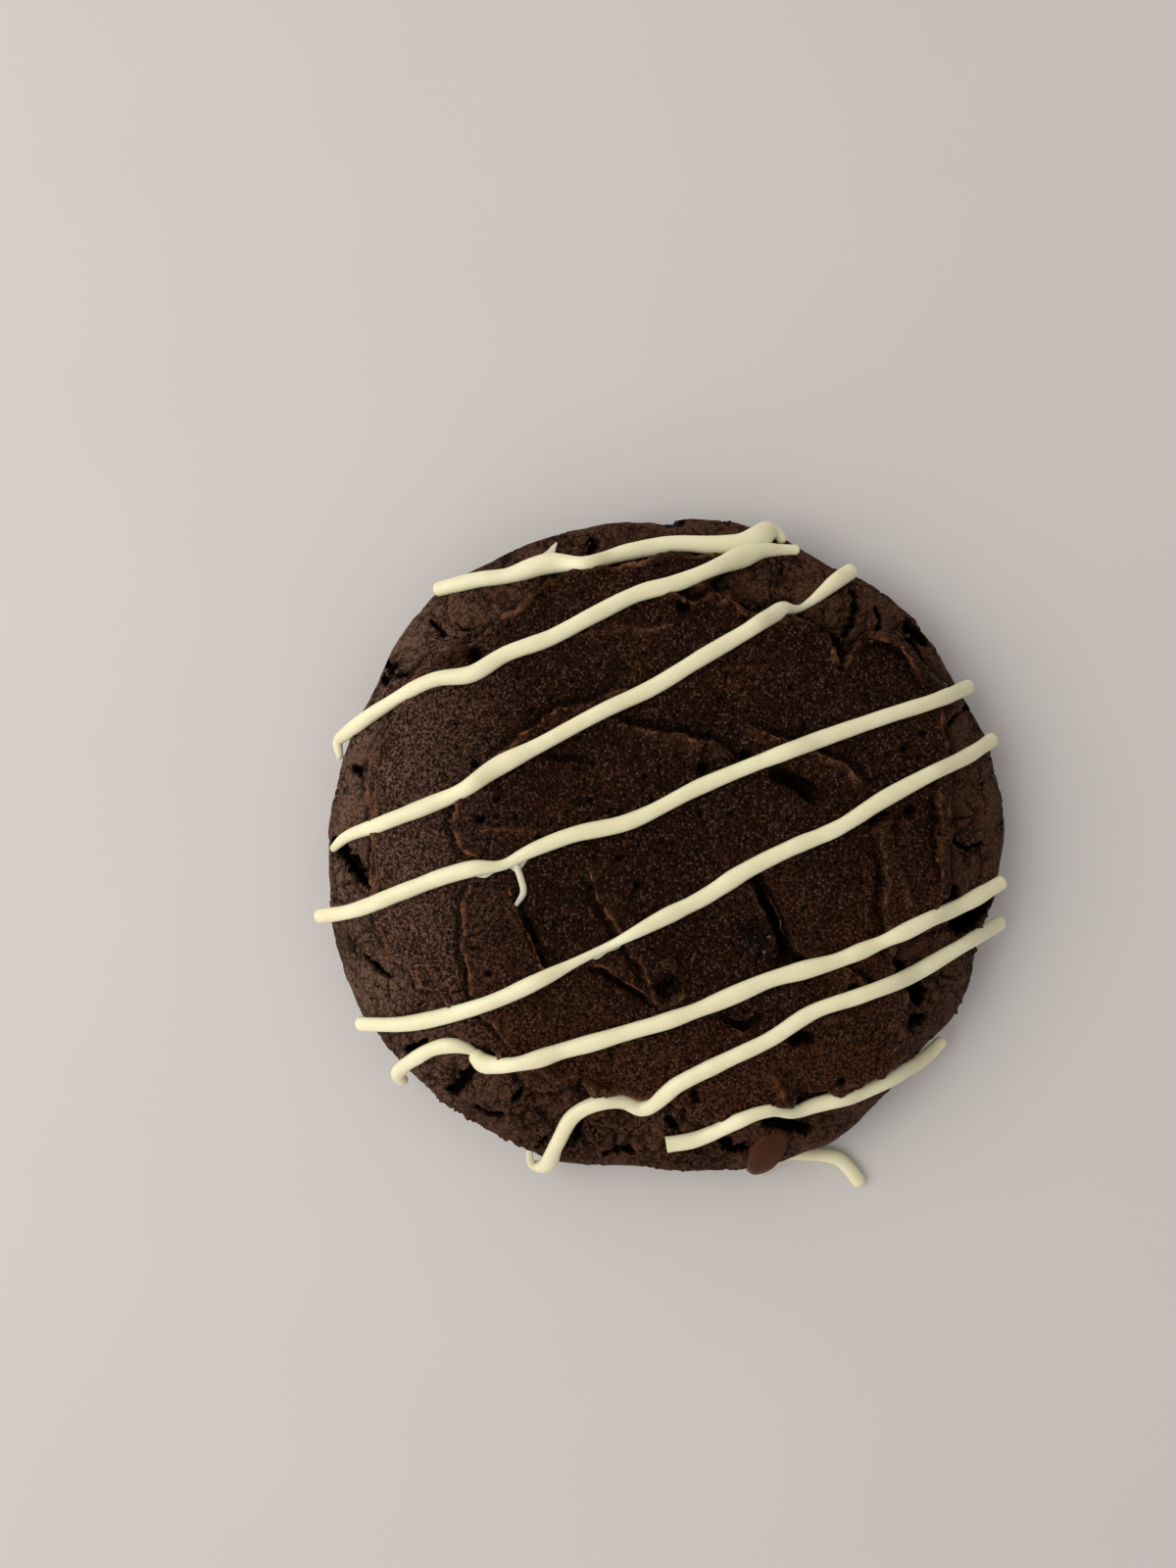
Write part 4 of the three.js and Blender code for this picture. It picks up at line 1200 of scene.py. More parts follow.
CORNER_REACH = np.radians(4)
RIM_MARGIN = 0.8


def spread_radius(angles):
    """Radius that holds the whole torn edge: the furthest corner near an angle, and a margin."""
    corner_line = smooth_line(edge_loop, 1.0)
    corner_angles = angle_of(corner_line)
    corner_radii = np.hypot(*corner_line.T)
    stops = np.linspace(-np.pi, np.pi, 181)
    apart = np.abs((stops[:, None] - corner_angles + np.pi) % (2 * np.pi) - np.pi)
    widest = np.where(apart < CORNER_REACH, corner_radii, 0).max(axis=1) + SPREAD_MARGIN
    limit = rim_radius(stops) - RIM_MARGIN
    return np.interp((angles + np.pi) % (2 * np.pi) - np.pi, stops, np.minimum(widest, limit))


def border_of(cells):
    """Indices of the grid's border, counterclockwise as seen from above."""
    grid = np.arange((cells + 1) ** 2).reshape(cells + 1, cells + 1)
    return np.concatenate([grid[0, :-1], grid[:-1, -1], grid[-1, :0:-1], grid[:0:-1, 0]])


def grid_faces(cells):
    grid = np.arange((cells + 1) ** 2).reshape(cells + 1, cells + 1)
    corners = [grid[:-1, :-1], grid[:-1, 1:], grid[1:, 1:], grid[1:, :-1]]
    return np.column_stack([corner.ravel() for corner in corners])


def grain_tree():
    """Fine grain of the frosting, which leaves its hidden rim and underside alone."""
    tree, given = new_geometry_tree("frosting_grain", {"Bump Height": 0.36, "Bump Size": 0.75, "Seed": 1})
    end_tree(tree, roughened(tree, given, given["Geometry"], stored_value(tree, "free")), frosting_finish)
    return tree


def make_frosting():
    share, angle = disc_grid(FROSTING_CELLS)
    share = share * (1 + GRID_CROWDING * (1 - share))
    reach = (share * spread_radius(angle)).ravel()
    flat = np.column_stack([reach * np.cos(angle.ravel()), reach * np.sin(angle.ravel())])
    thickness, lip, painted_shade, wet = frosting_at(flat)
    top = np.column_stack([flat, dome_height(flat) + thickness])
    border = border_of(FROSTING_CELLS)
    count = len(border)
    rings = []
    for inner in [1, *BOTTOM_SHARES]:
        ring = flat[border] * inner
        rings.append(np.column_stack([ring, dome_height(ring) - BOTTOM_DEPTH]))
    middle = [[0, 0, dome_height(np.zeros((1, 2)))[0] - BOTTOM_DEPTH]]
    points = np.vstack([top, *rings, middle])
    faces = list(grid_faces(FROSTING_CELLS))
    starts = [border] + [np.arange(count) + len(top) + k * count for k in range(len(rings))]
    for upper, lower in zip(starts[:-1], starts[1:]):
        faces += zip(upper, lower, np.roll(lower, -1), np.roll(upper, -1))
    faces += zip(starts[-1], itertools.repeat(len(points) - 1), np.roll(starts[-1], -1))
    hidden = np.zeros(len(points) - len(top))
    values = {"lip": lip, "painted_shade": painted_shade, "wet": wet, "free": rise(thickness / 0.5)}
    values.update(dry=left_sheen_share(flat), brown=brownness(flat, edge_depth(flat)))
    stored = {label: np.append(numbers, hidden) for label, numbers in values.items()}
    base = skin("frosting_base", points, faces, **stored)
    return run_tree(base, grain_tree(), "spread_frosting", seed=4)


frosting = make_frosting()
hand_over(frosting, "frosting", "frosting")

# %% [markdown]
# ## A tree for everything that follows a line
#
# Torn lips of frosting and piped strands have one thing in common: a section that follows a line and
# grows or shrinks on the way. Curve to Mesh is the tool for that. One tree sweeps a round section along
# stations with a half width each, presses it flat, and roughens it where it is frosting.

# %% Sweep tree
def captured(tree, geometry, value):
    """Keeps a vector of each point of a curve for the mesh that is swept along it."""
    node = add_node(tree, "GeometryNodeCaptureAttribute", {"Geometry": geometry})
    node.capture_items.new("VECTOR", "kept")
    tree.links.new(value, node.inputs[-2])
    return node.outputs[0], node.outputs[1]


def sweep_tree(name, material):
    sizes = {"Section Sides": 18, "Flattening": 1.0, "Bump Height": 0.0, "Bump Size": 0.5, "Seed": 1}
    tree, given = new_geometry_tree(name, sizes)
    line = add_node(tree, "GeometryNodeMeshToCurve", {"Mesh": given["Geometry"]}).outputs[0]
    line = add_node(tree, "GeometryNodeSetCurveNormal", {"Curve": line}, mode="Z_UP").outputs[0]
    place = add_node(tree, "GeometryNodeInputPosition").outputs[0]
    tangent = add_node(tree, "GeometryNodeInputTangent").outputs[0]
    sideways = vector_maths(tree, "CROSS_PRODUCT", (0, 0, 1), tangent)
    upward = vector_maths(tree, "CROSS_PRODUCT", tangent, sideways)
    upward = vector_maths(tree, "NORMALIZE", upward, (0, 0, 0))
    line, spine = captured(tree, line, place)
    line, pressed = captured(tree, line, upward)
    circle = {"Resolution": given["Section Sides"], "Radius": 1.0}
    section = add_node(tree, "GeometryNodeCurvePrimitiveCircle", circle).outputs[0]
    half = stored_value(tree, "half")
    sweep = {"Curve": line, "Profile Curve": section, "Scale": half, "Fill Caps": True}
    swept = add_node(tree, "GeometryNodeCurveToMesh", sweep).outputs[0]
    height = vector_maths(tree, "DOT_PRODUCT", vector_maths(tree, "SUBTRACT", place, spine), pressed, "Value")
    less = maths(tree, "SUBTRACT", given["Flattening"], 1.0)
    offset = vector_maths(tree, "SCALE", pressed, maths(tree, "MULTIPLY", height, less))
    flat = add_node(tree, "GeometryNodeSetPosition", {"Geometry": swept, "Offset": offset}).outputs[0]
    smooth = add_node(tree, "GeometryNodeSetShadeSmooth", {0: roughened(tree, given, flat)}).outputs[0]
    end_tree(tree, smooth, material)
    return tree


def sweep(name, tree, lines, labels, **sizes):
    """Sweeps along lines of stations as one piece. A line comes with a list of numbers for each label."""
    edges = []
    start = 0
    for line, *_ in lines:
        edges += [(start + k, start + k + 1) for k in range(len(line) - 1)]
        start += len(line)
    mesh = bpy.data.meshes.new(name)
    mesh.from_pydata((np.vstack([line for line, *_ in lines]) * MM).tolist(), edges, [])
    for index, label in enumerate(labels, 1):
        attribute = mesh.attributes.new(label, "FLOAT", "POINT")
        numbers = np.concatenate([line[index] for line in lines])
        attribute.data.foreach_set("value", numbers.astype(np.float32))
    return run_tree(link_object(name + "_line", mesh), tree, name, **sizes)


# %% [markdown]
# ## Torn lips
#
# A blade that lifts off pulls the frosting up into a thin ragged lip. The lips are finer than the cells
# of the frosting's mesh, so they can't be moved out of it. Each is swept along its ledge or ridge, or
# along the edge, instead. It takes the same noise as the frosting, so that it sits right on the tear.

# %% Torn lips along the ledges, the ridges and the edge
LIP_STEP = 0.28
LIP_HALF = (0.10, 0.19)  # half width of a lip, and what each mm of step adds
RIDGE_LIP_HALF = 0.19
EDGE_LIP_HALF = 0.46
EDGE_LIP_INSET = 0.5  # how far inside the edge its lip runs
LEDGE_LIP_INSET = 0.2
LIP_ROOT = 0.30  # share of its half width by which a lip sinks in
LIP_SIDES = 8
LEDGE_TONE = 1.0  # how much of the lip colour, part torn colour and part painted light, a lip has for each mm of step
RIDGE_TONE = 0.35
EDGE_TONE = 0.35


def torn_lip(line, half, shift, share, tone=0.5):
    """Stations of a ragged lip on the left of a line, shifted as the noise shifts the frosting there."""
    line = smooth_line(line, LIP_STEP)
    along = np.gradient(line, axis=0)
    left = np.column_stack([-along[:, 1], along[:, 0]]) / np.linalg.norm(along, axis=1)[:, None]
    flat = line
    for _ in range(4):
        flat = line + left * shift(flat)[:, None]
    uneven = np.clip(0.75 + 0.9 * noise(flat, 2.3, seed=111) + 0.6 * noise(flat, 0.8, seed=113), 0.15, 1.5)
    half = half * uneven * share
    points = np.column_stack([flat, top_height(flat) - LIP_ROOT * half])
    lip = np.clip(tone + 0.9 * noise(flat, 1.7, seed=115), 0.05, 1)
    return points, half * MM, lip, left_sheen_share(flat)


def fading_ends(line):
    return np.sin(np.pi * np.linspace(0, 1, len(smooth_line(line, LIP_STEP)))) ** 0.4


def make_torn_lips():
    def on_ledge(points):
        return LEDGE_LIP_INSET - LEDGE_RAGS * frosting_raggedness(points)

    def on_ridge(points):
        return -RIDGE_RAGS * frosting_raggedness(points)

    def on_edge(points):
        return EDGE_LIP_INSET - EDGE_TEARS * rough_noise(points, EDGE_TEAR_SIZE, EDGE_TEAR_SEED)

    base, per_step = LIP_HALF
    lips = []
    for step, _, _, line in ledge_lines:
        lips.append(torn_lip(line, base + per_step * step, on_ledge, fading_ends(line), LEDGE_TONE * step))
    for *_, line in ridge_lines:
        lips.append(torn_lip(line, RIDGE_LIP_HALF, on_ridge, fading_ends(line), RIDGE_TONE))
    lips.append(torn_lip(edge_loop[::-1], EDGE_LIP_HALF, on_edge, 1.0, EDGE_TONE))
    sizes = {"section_sides": LIP_SIDES, "flattening": 0.9, "bump_height": 0.30, "bump_size": 0.45}
    tree = sweep_tree("torn_lip", frosting_finish)
    return sweep("torn_lips", tree, lips, ("half", "lip", "dry"), **sizes)


hand_over(make_torn_lips(), "frosting")

# %% [markdown]
# ## Torn lumps and crumbs
#
# Where a knife lifts off, the frosting tears into small lumps, and the crust sheds crumbs. It is one
# shape again and again, so Geometry Nodes sets a rough ball on many points, each turned and pressed in
# its own way. The points follow the torn lines and the crumbly patches, drawn with a fixed seed.

# %% Lump tree
FULL_TURN = 2 * np.pi


def lump_tree(name, material):
    sizes = {"Bump Height": 0.35, "Bump Size": 0.5, "Seed": 1}
    tree, given = new_geometry_tree(name, sizes)
    radius = stored_value(tree, "size")
    pressed = {0: radius, 1: maths(tree, "MULTIPLY", radius, 0.8), 2: maths(tree, "MULTIPLY", radius, 0.6)}
    stretch = add_node(tree, "ShaderNodeCombineXYZ", pressed).outputs[0]
    span = {"Min": (0.0, 0.0, 0.0), "Max": (FULL_TURN, FULL_TURN, FULL_TURN), "Seed": given["Seed"]}
    turn = add_node(tree, "FunctionNodeRandomValue", span, data_type="FLOAT_VECTOR").outputs[0]
    ball = add_node(tree, "GeometryNodeMeshIcoSphere", {"Radius": 1.0, "Subdivisions": 2}).outputs[0]
    placing = {"Points": given["Geometry"], "Instance": ball, "Rotation": turn, "Scale": stretch}
    placed = add_node(tree, "GeometryNodeInstanceOnPoints", placing).outputs[0]
    real = add_node(tree, "GeometryNodeRealizeInstances", {"Geometry": placed}).outputs[0]
    smooth = add_node(tree, "GeometryNodeSetShadeSmooth", {0: roughened(tree, given, real)}).outputs[0]
    end_tree(tree, smooth, material)
    return tree


def set_lumps(name, material, points, radii, **values):
    """Rough lumps at points in mm, as one piece."""
    sizes = {"size": radii * MM, **values}
    return run_tree(skin(name + "_points", points, [], **sizes), lump_tree(name + "_tree", material), name)


# %% [markdown]
# The lumps follow the same lines as the lips, and the crumbs lie on the crumbly patches and loose along
# the rim. Most are small. None lies in a hole, and each sinks in a little, so that it sits on the food.

# %% Torn frosting and crumbs of crust
LUMPS_PER_MM = 1.8  # along the torn lines
TORN_SIZES = (0.14, 0.42)  # smallest and largest radius in mm
TORN_SPREAD = 0.32
EDGE_LUMPS_PER_MM = 0.9
CRUMB_SIZES = (0.14, 0.55)
CRUMBS_PER_PATCH_AREA = 1.1
LOOSE_CRUMBS = 320
LOOSE_BAND = (0.80, 0.99)  # shares of the rim's radius between which they lie
CRUMB_EDGE_DEPTH = 0.2  # how far inside the frosting's edge a crumb may lie
LUMP_LIP = 0.55  # how much of the lip colour, part torn colour and part painted light, a lump has at most
LUMP_ROOT = 0.25  # share of its radius by which a lump sinks in
DARK_LIMIT = 0.3  # no lump lies where the painted shade of a hollow is more than this


def points_along(line, per_mm, spread, draw):
    """Random points near a line."""
    lengths = np.linalg.norm(np.diff(line, axis=0), axis=1)
    run = np.concatenate([[0], np.cumsum(lengths)])
    stops = draw.uniform(0, run[-1], int(per_mm * run[-1]))
    along = np.column_stack([np.interp(stops, run, part) for part in line.T])
    return along + draw.normal(0, spread, along.shape)


def mostly_small(sizes, count, draw):
    return sizes[0] + (sizes[1] - sizes[0]) * draw.uniform(0, 1, count) ** 3


def make_torn_lumps():
    draw = np.random.default_rng(23)
    groups = [points_along(line, LUMPS_PER_MM, TORN_SPREAD, draw) for *_, line in ledge_lines + ridge_lines]
    groups.append(points_along(edge_loop, EDGE_LUMPS_PER_MM, TORN_SPREAD, draw))
    flat = np.vstack(groups)
    flat = flat[frosting_at(flat)[2] < DARK_LIMIT]
    radii = mostly_small(TORN_SIZES, len(flat), draw)
    heights = top_height(flat) - LUMP_ROOT * radii
    lip = LUMP_LIP * draw.uniform(0, 1, len(flat))
    points = np.column_stack([flat, heights])
    return set_lumps("torn_frosting", frosting_finish, points, radii, lip=lip, dry=left_sheen_share(flat))


def make_crumbs():
    draw = np.random.default_rng(29)
    groups = []
    for radius, place in ROUGH_PATCHES:
        count = int(CRUMBS_PER_PATCH_AREA * radius**2)
        groups.append(on_dome(place)[:, :2] + draw.normal(0, radius / 2, (count, 2)))
    turns = draw.uniform(0, FULL_TURN, LOOSE_CRUMBS)
    reach = draw.uniform(*LOOSE_BAND, LOOSE_CRUMBS) * rim_radius(turns)
    groups.append(np.column_stack([reach * np.cos(turns), reach * np.sin(turns)]))
    flat = np.vstack(groups)
    bare = edge_depth(flat) < CRUMB_EDGE_DEPTH
    within = np.hypot(*flat.T) < LOOSE_BAND[1] * rim_radius(angle_of(flat))
    flat = flat[bare & within]
    resting = np.column_stack([flat, dome_height(flat)])
    flat = flat[sink_marks(resting)[1] < DARK_LIMIT]
    radii = mostly_small(CRUMB_SIZES, len(flat), draw)
    points = np.column_stack([flat, dome_height(flat) - LUMP_ROOT * radii])
    return set_lumps("crust_crumbs", crust_finish, points, radii, dry=left_sheen_share(flat))


hand_over(make_torn_lumps(), "frosting")
hand_over(make_crumbs(), "crust")

# %% [markdown]
# ## White chocolate strands
#
# Melted white chocolate was piped in a zigzag from edge to edge. It set as smooth rounded strands that
# bridge small hollows and sag over the rim, where the turns snapped. They could be bevelled curves, but
# the sweep tree above lets every station have its own width, so it makes them too, pressed flatter than
# the lips. Their finish is creamy and a little translucent, and greyer where the chocolate is thin.

# %% White chocolate material
CREAM = (0.815, 0.745, 0.468)
CREAM_LIGHT = (0.865, 0.80, 0.525)
FILM = (0.50, 0.46, 0.40)


def white_chocolate_material():
    constants = {"Subsurface Weight": 0.25, "Subsurface Scale": 0.0008, "Specular IOR Level": 0.5}
    material, tree, shader, place = new_material("white_chocolate", constants)
    cloud = noise_value(tree, place, 260.0, detail=2.0)
    fine = noise_value(tree, place, 1600.0, detail=2.0, seed=4.0)
    tone = mix_colours(tree, soft_step(tree, cloud, 0.35, 0.65), CREAM, CREAM_LIGHT)
    tone = mix_colours(tree, attribute_value(tree, "thin"), tone, FILM)
    tree.links.new(tone, shader.inputs["Base Color"])
    tree.links.new(maths(tree, "MULTIPLY_ADD", cloud, 0.2, 0.28), shader.inputs["Roughness"])
    waves = add_bump(tree, fine, 0.03)
    tree.links.new(add_bump(tree, cloud, 0.12, waves), shader.inputs["Normal"])
    return material


white_finish = white_chocolate_material()

# %% [markdown]
# The routes are places in the picture with a width in mm where it isn't the usual one. A strand rests
# on the highest food beside it, smoothed along its length, because stiff chocolate bridges a pit.

# %% Routes of the strands
STRAND_WIDTH = 1.95
STRAND_FLATTENING = 0.72
STRAND_STEP = 0.35
TOP_STRAND = [
    (448, 601), (491, 591), (515, 588), (561, 575, 2.7), (595, 575), (642, 563), (693, 555, 2.1),
    (735, 556, 2.2), (758, 554, 2.6), (774, 549, 3.1), (783, 543, 2.8), (792, 544, 1.7), (798, 551, 1.2),
]
SECOND_STRAND = [
    (347, 772, 0.9), (345, 757, 1.4), (358, 745), (392, 721), (445, 693), (480, 688, 2.1), (515, 668),
    (561, 651), (607, 627), (653, 605), (690, 595), (735, 577), (758, 568, 2.7), (776, 562, 2.0),
    (796, 561, 1.4), (812, 561, 1.3),
]
THIRD_STRAND = [
    (340, 866, 0.9), (348, 858, 1.3), (388, 841, 1.8), (434, 823), (471, 807), (503, 785, 2.2), (549, 761),
    (618, 724), (665, 702), (716, 671), (762, 644), (786, 629), (802, 622, 1.9),
    (809, 622, 1.2), (816, 621, 0.85), (826, 615, 1.0), (840, 604, 1.6), (852, 594, 2.1), (868, 583, 2.2),
]
FOURTH_STRAND = [
    (326, 935), (353, 931), (411, 910), (457, 893), (484, 886), (512, 883, 1.4), (538, 870, 1.8),
    (584, 852), (637, 840), (716, 802), (808, 765), (901, 732), (970, 709), (988, 701),
]
FOURTH_STRAND_DRIP = [(526, 881, 0.9), (531, 895, 0.85), (534, 911, 0.8), (527, 923, 0.5)]
FIFTH_STRAND = [
    (368, 1045), (411, 1045), (457, 1036), (503, 1022), (549, 1001), (595, 978, 1.1), (630, 961, 1.2),
    (676, 937, 2.2), (716, 917, 2.1), (762, 888, 2.1), (808, 865), (855, 845), (901, 816), (947, 791),
    (993, 768), (1012, 755),
]
SIXTH_STRAND_LEFT = [
    (411, 1103, 1.6), (406, 1096), (412, 1088), (424, 1080), (440, 1071, 1.8), (457, 1067, 2.1),
    (475, 1069, 1.7), (482, 1072, 1.2),
]
SIXTH_STRAND = [
    (486, 1078, 2.0), (492, 1084, 2.4), (507, 1087, 2.1), (526, 1086), (548, 1081, 2.3), (572, 1073),
    (605, 1064, 2.2), (642, 1053), (680, 1042, 2.1), (716, 1029), (752, 1014, 2.3), (785, 1000, 2.0),
    (820, 990, 2.3), (855, 980, 2.0), (880, 970, 2.1), (901, 961, 1.6), (925, 950, 2.1), (947, 939),
    (981, 924, 2.2), (1021, 901),
]
SEVENTH_STRAND = [
    (540, 1174, 0.9), (543, 1188, 1.2), (555, 1190), (568, 1168), (586, 1138), (606, 1127), (637, 1124),
    (653, 1131), (693, 1106), (739, 1083), (785, 1061), (831, 1032), (878, 1016), (924, 998), (970, 972),
    (1020, 942),
]
EIGHTH_STRAND = [
    (680, 1168), (705, 1164), (751, 1145), (774, 1136, 1.6), (790, 1133, 1.4), (808, 1135, 1.5),
    (831, 1128), (878, 1115), (924, 1092), (947, 1076), (960, 1063, 1.6),
]
LOW_STRAND = [
    (777, 1198, 0.7), (786, 1189, 1.2), (799, 1179, 1.5), (827, 1178, 1.7), (858, 1184), (867, 1193),
    (876, 1205),
]
LOW_STRAND_HEIGHT = 0.95

EMBEDDING = 0.18  # how far a strand sinks into what it rests on
REST_REACH = 0.7  # how far to the side a strand feels for what carries it
BRIDGING = 19  # stations over which the resting height is smoothed, those nearby most
THIN_WIDTH = 1.3  # below this width the chocolate is thin and lets the dark food show
THIN_RANGE = 0.9
USUAL_PICTURE_UNIT = 0.12  # mm, on the food
CAP_TURNS = np.radians([20, 40, 60, 75, 86])  # where the stations of a rounded end lie
CAP_LENGTH = 0.8  # of a rounded end, as a share of the half width


def resting_height(points):
    """The highest food at a point and close around it."""
    around = [(0, 0), (1, 0), (-1, 0), (0, 1), (0, -1)]
    return np.max([top_height(points + REST_REACH * np.array(side)) for side in around], axis=0)


def smoothed(values, count):
    """A running mean that counts the nearest values most, with the ends held."""
    held = np.pad(values, count // 2, mode="edge")
    weights = np.hanning(count + 2)[1:-1]
    return np.convolve(held, weights / weights.sum(), mode="valid")


def with_widths(route):
    return [(place[0], place[1], place[2] if len(place) > 2 else STRAND_WIDTH) for place in route]


def strand_stations(route, blunt_start=False, height=None):
    """Stations of a strand in mm: the middle line, the half widths, and how thin the chocolate is."""
    picture_step = STRAND_STEP / USUAL_PICTURE_UNIT
    stations = smooth_line(with_widths(route), picture_step)
    half = 0.5 * stations[:, 2]
    if height is None:
        resting = smoothed(place_on(resting_height, stations[:, :2])[:, 2], BRIDGING)
        middle = resting + half * STRAND_FLATTENING - EMBEDDING
    else:
        middle = np.full(len(stations), height)
    line = np.column_stack([seen_at(stations[:, :2], middle), middle])
    half = half * (1 + 0.07 * noise(line, 2.6, seed=91) + 0.09 * noise(line, 6.0, seed=93))
    thin = rise((THIN_WIDTH - stations[:, 2]) / THIN_RANGE)
    return rounded_ends(line, half, thin, blunt_start)


def rounded_ends(line, half, thin, blunt_start):
    """Adds stations before each end whose widths follow a half circle. A blunt start is cut off flat."""
    def cap(end, towards, size, thinness):
        outward_step = (end - towards) / np.linalg.norm(end - towards)
        reach = CAP_LENGTH * size * np.sin(CAP_TURNS)[:, None]
        return end + outward_step * reach, size * np.cos(CAP_TURNS), np.full(len(CAP_TURNS), thinness)

    start_cap = cap(line[0], line[2], half[0], thin[0])
    end_cap = cap(line[-1], line[-3], half[-1], thin[-1])
    before = [part[:0] if blunt_start else part[::-1] for part in start_cap]
    line, half, thin = (np.concatenate(parts) for parts in zip(before, (line, half, thin), end_cap))
    return line, half * MM, thin


def make_strands():
    strand = strand_stations
    pieces = [
        ("white_chocolate_strands_1_2", [strand(TOP_STRAND), strand(SECOND_STRAND)]),
        ("white_chocolate_strand_3", [strand(THIRD_STRAND)]),
        ("white_chocolate_strand_4", [strand(FOURTH_STRAND), strand(FOURTH_STRAND_DRIP)]),
        ("white_chocolate_strand_5", [strand(FIFTH_STRAND)]),
        ("white_chocolate_strand_6", [strand(SIXTH_STRAND_LEFT), strand(SIXTH_STRAND)]),
        ("white_chocolate_strand_7", [strand(SEVENTH_STRAND)]),
        ("white_chocolate_strand_8", [strand(EIGHTH_STRAND, blunt_start=True)]),
        ("white_chocolate_strand_9", [strand(LOW_STRAND, height=LOW_STRAND_HEIGHT)]),
    ]
    tree = sweep_tree("piped_strand", white_finish)
    for node, lines in pieces:
        name = node.replace("white_chocolate", "drizzle")
        piece = sweep(name, tree, lines, ("half", "thin"), flattening=STRAND_FLATTENING)
        hand_over(piece, "white_chocolate", node)


make_strands()

# %% [markdown]
# ## Films of white chocolate and flakes of frosting
#
# In a few places the chocolate spread into a thin film beside its strand, and frosting stands up over a
# strand that sank into it. Each has an outline of its own, so each is a soft patch: the outline is laid
# on whatever carries it and filled to a small thickness. Rings run from its middle to the outline and
# back below, as on the crust.

# %% Patches
PATCH_SIDES = 72
PATCH_RINGS = 10
PATCH_ROOT = 0.5  # how far the underside lies below the surface that carries it
BACK_SHARES = (0.97, 0.5)  # of the outline, for the rings on the back of a soft patch
FILMS = [  # thickness in mm and outline
    (0.30, [(541, 580), (545, 573), (551, 567), (558, 562), (564, 556), (569, 552), (568, 558), (567, 563),
            (571, 569), (580, 574), (576, 580), (560, 583)]),
    (0.30, [(484, 894), (492, 885), (506, 880), (518, 875), (528, 868), (540, 864), (540, 874), (534, 884),
            (529, 891), (520, 886), (506, 890), (494, 896)]),
    (0.25, [(598, 976), (606, 968), (620, 962), (636, 957), (634, 965), (620, 972), (608, 979)]),
    (0.20, [(884, 972), (892, 962), (906, 955), (916, 953), (912, 962), (898, 970)]),
]
FLAKES = [
    (0.9, [(598, 1126), (604, 1118), (616, 1117), (630, 1120), (646, 1124), (650, 1130), (636, 1128),
           (620, 1124), (606, 1128)]),
    (0.8, [(780, 1134), (788, 1126), (800, 1122), (810, 1126), (812, 1136), (804, 1134), (792, 1131)]),
    (0.8, [(742, 1148), (750, 1140), (764, 1137), (776, 1133), (778, 1140), (764, 1144), (752, 1149)]),
    (0.9, [(442, 678), (450, 664), (462, 657), (476, 658), (484, 660), (476, 667), (468, 674), (456, 681)]),
    (0.7, [(470, 690), (476, 682), (486, 680), (488, 686), (480, 692)]),
    (0.8, [(888, 850), (892, 838), (902, 832), (912, 836), (908, 846), (902, 856), (894, 858)]),
]
FLAKE_TEAR = 0.35


def counterclockwise(loop):
    """The loop in the order that is counterclockwise from above. The picture's second number runs down."""
    after = np.roll(loop, -1, axis=0)
    area = (loop[:, 0] * after[:, 1] - after[:, 0] * loop[:, 1]).sum()
    return loop[::-1] if area > 0 else loop


def patch_rings(outline, thickness, tear):
    """Rings of a soft patch that lies on the food, from its middle to its outline and back below."""
    closed = smooth_line([*outline, outline[0]], 1.0)
    stops = np.linspace(0, len(closed) - 1, PATCH_SIDES, endpoint=False)
    spaced = [np.interp(stops, range(len(closed)), part) for part in closed.T]
    loop = counterclockwise(np.column_stack(spaced))
    middle = loop.mean(axis=0)

    def ring(share, lift, torn=0.0):
        points = place_on(top_height, middle + share * (loop - middle))
        return points + np.outer(lift + torn * rough_noise(points, 1.0, seed=101), [0, 0, 1])

    shares = np.sin(np.linspace(0, np.pi / 2, PATCH_RINGS + 1)[1:])
    front = [ring(share, thickness * np.sqrt(max(1 - share**2, 0.0)), tear) for share in shares]
    back = [ring(share, -PATCH_ROOT) for share in BACK_SHARES]
    return np.array([*front, *back])


def make_patches(name, patches, material, tear=0.0, **value):
    """All patches of one kind as one piece, with the same stored number at every point."""
    points, faces = [], []
    for thickness, outline in patches:
        rings = patch_rings(outline, thickness, tear)
        start = sum(len(part) for part in points)
        faces += (np.array(face) + start for face in ring_faces(len(rings), PATCH_SIDES))
        points += [rings.reshape(-1, 3), [rings[0].mean(axis=0), rings[-1].mean(axis=0)]]
    points = np.vstack(points)
    stored = {label: np.full(len(points), number) for label, number in value.items()}
    made = skin(name, points, faces, **stored)
    made.data.materials.append(material)
    return made


hand_over(make_patches("drizzle_films", FILMS, white_finish, thin=0.6), "white_chocolate")
hand_over(make_patches("frosting_flakes", FLAKES, frosting_finish, FLAKE_TEAR, lip=0.2), "frosting")

# %% [markdown]
# ## The drip of milk chocolate
#
# One drop of milk chocolate ran over the rim and set there, wide above and narrow below. A metaball could
# make it, but it would not hug the side. So it is made of rings from its middle to its outline, laid on
# the side of the cookie, and each stands off the crust by the height of a soft cushion.

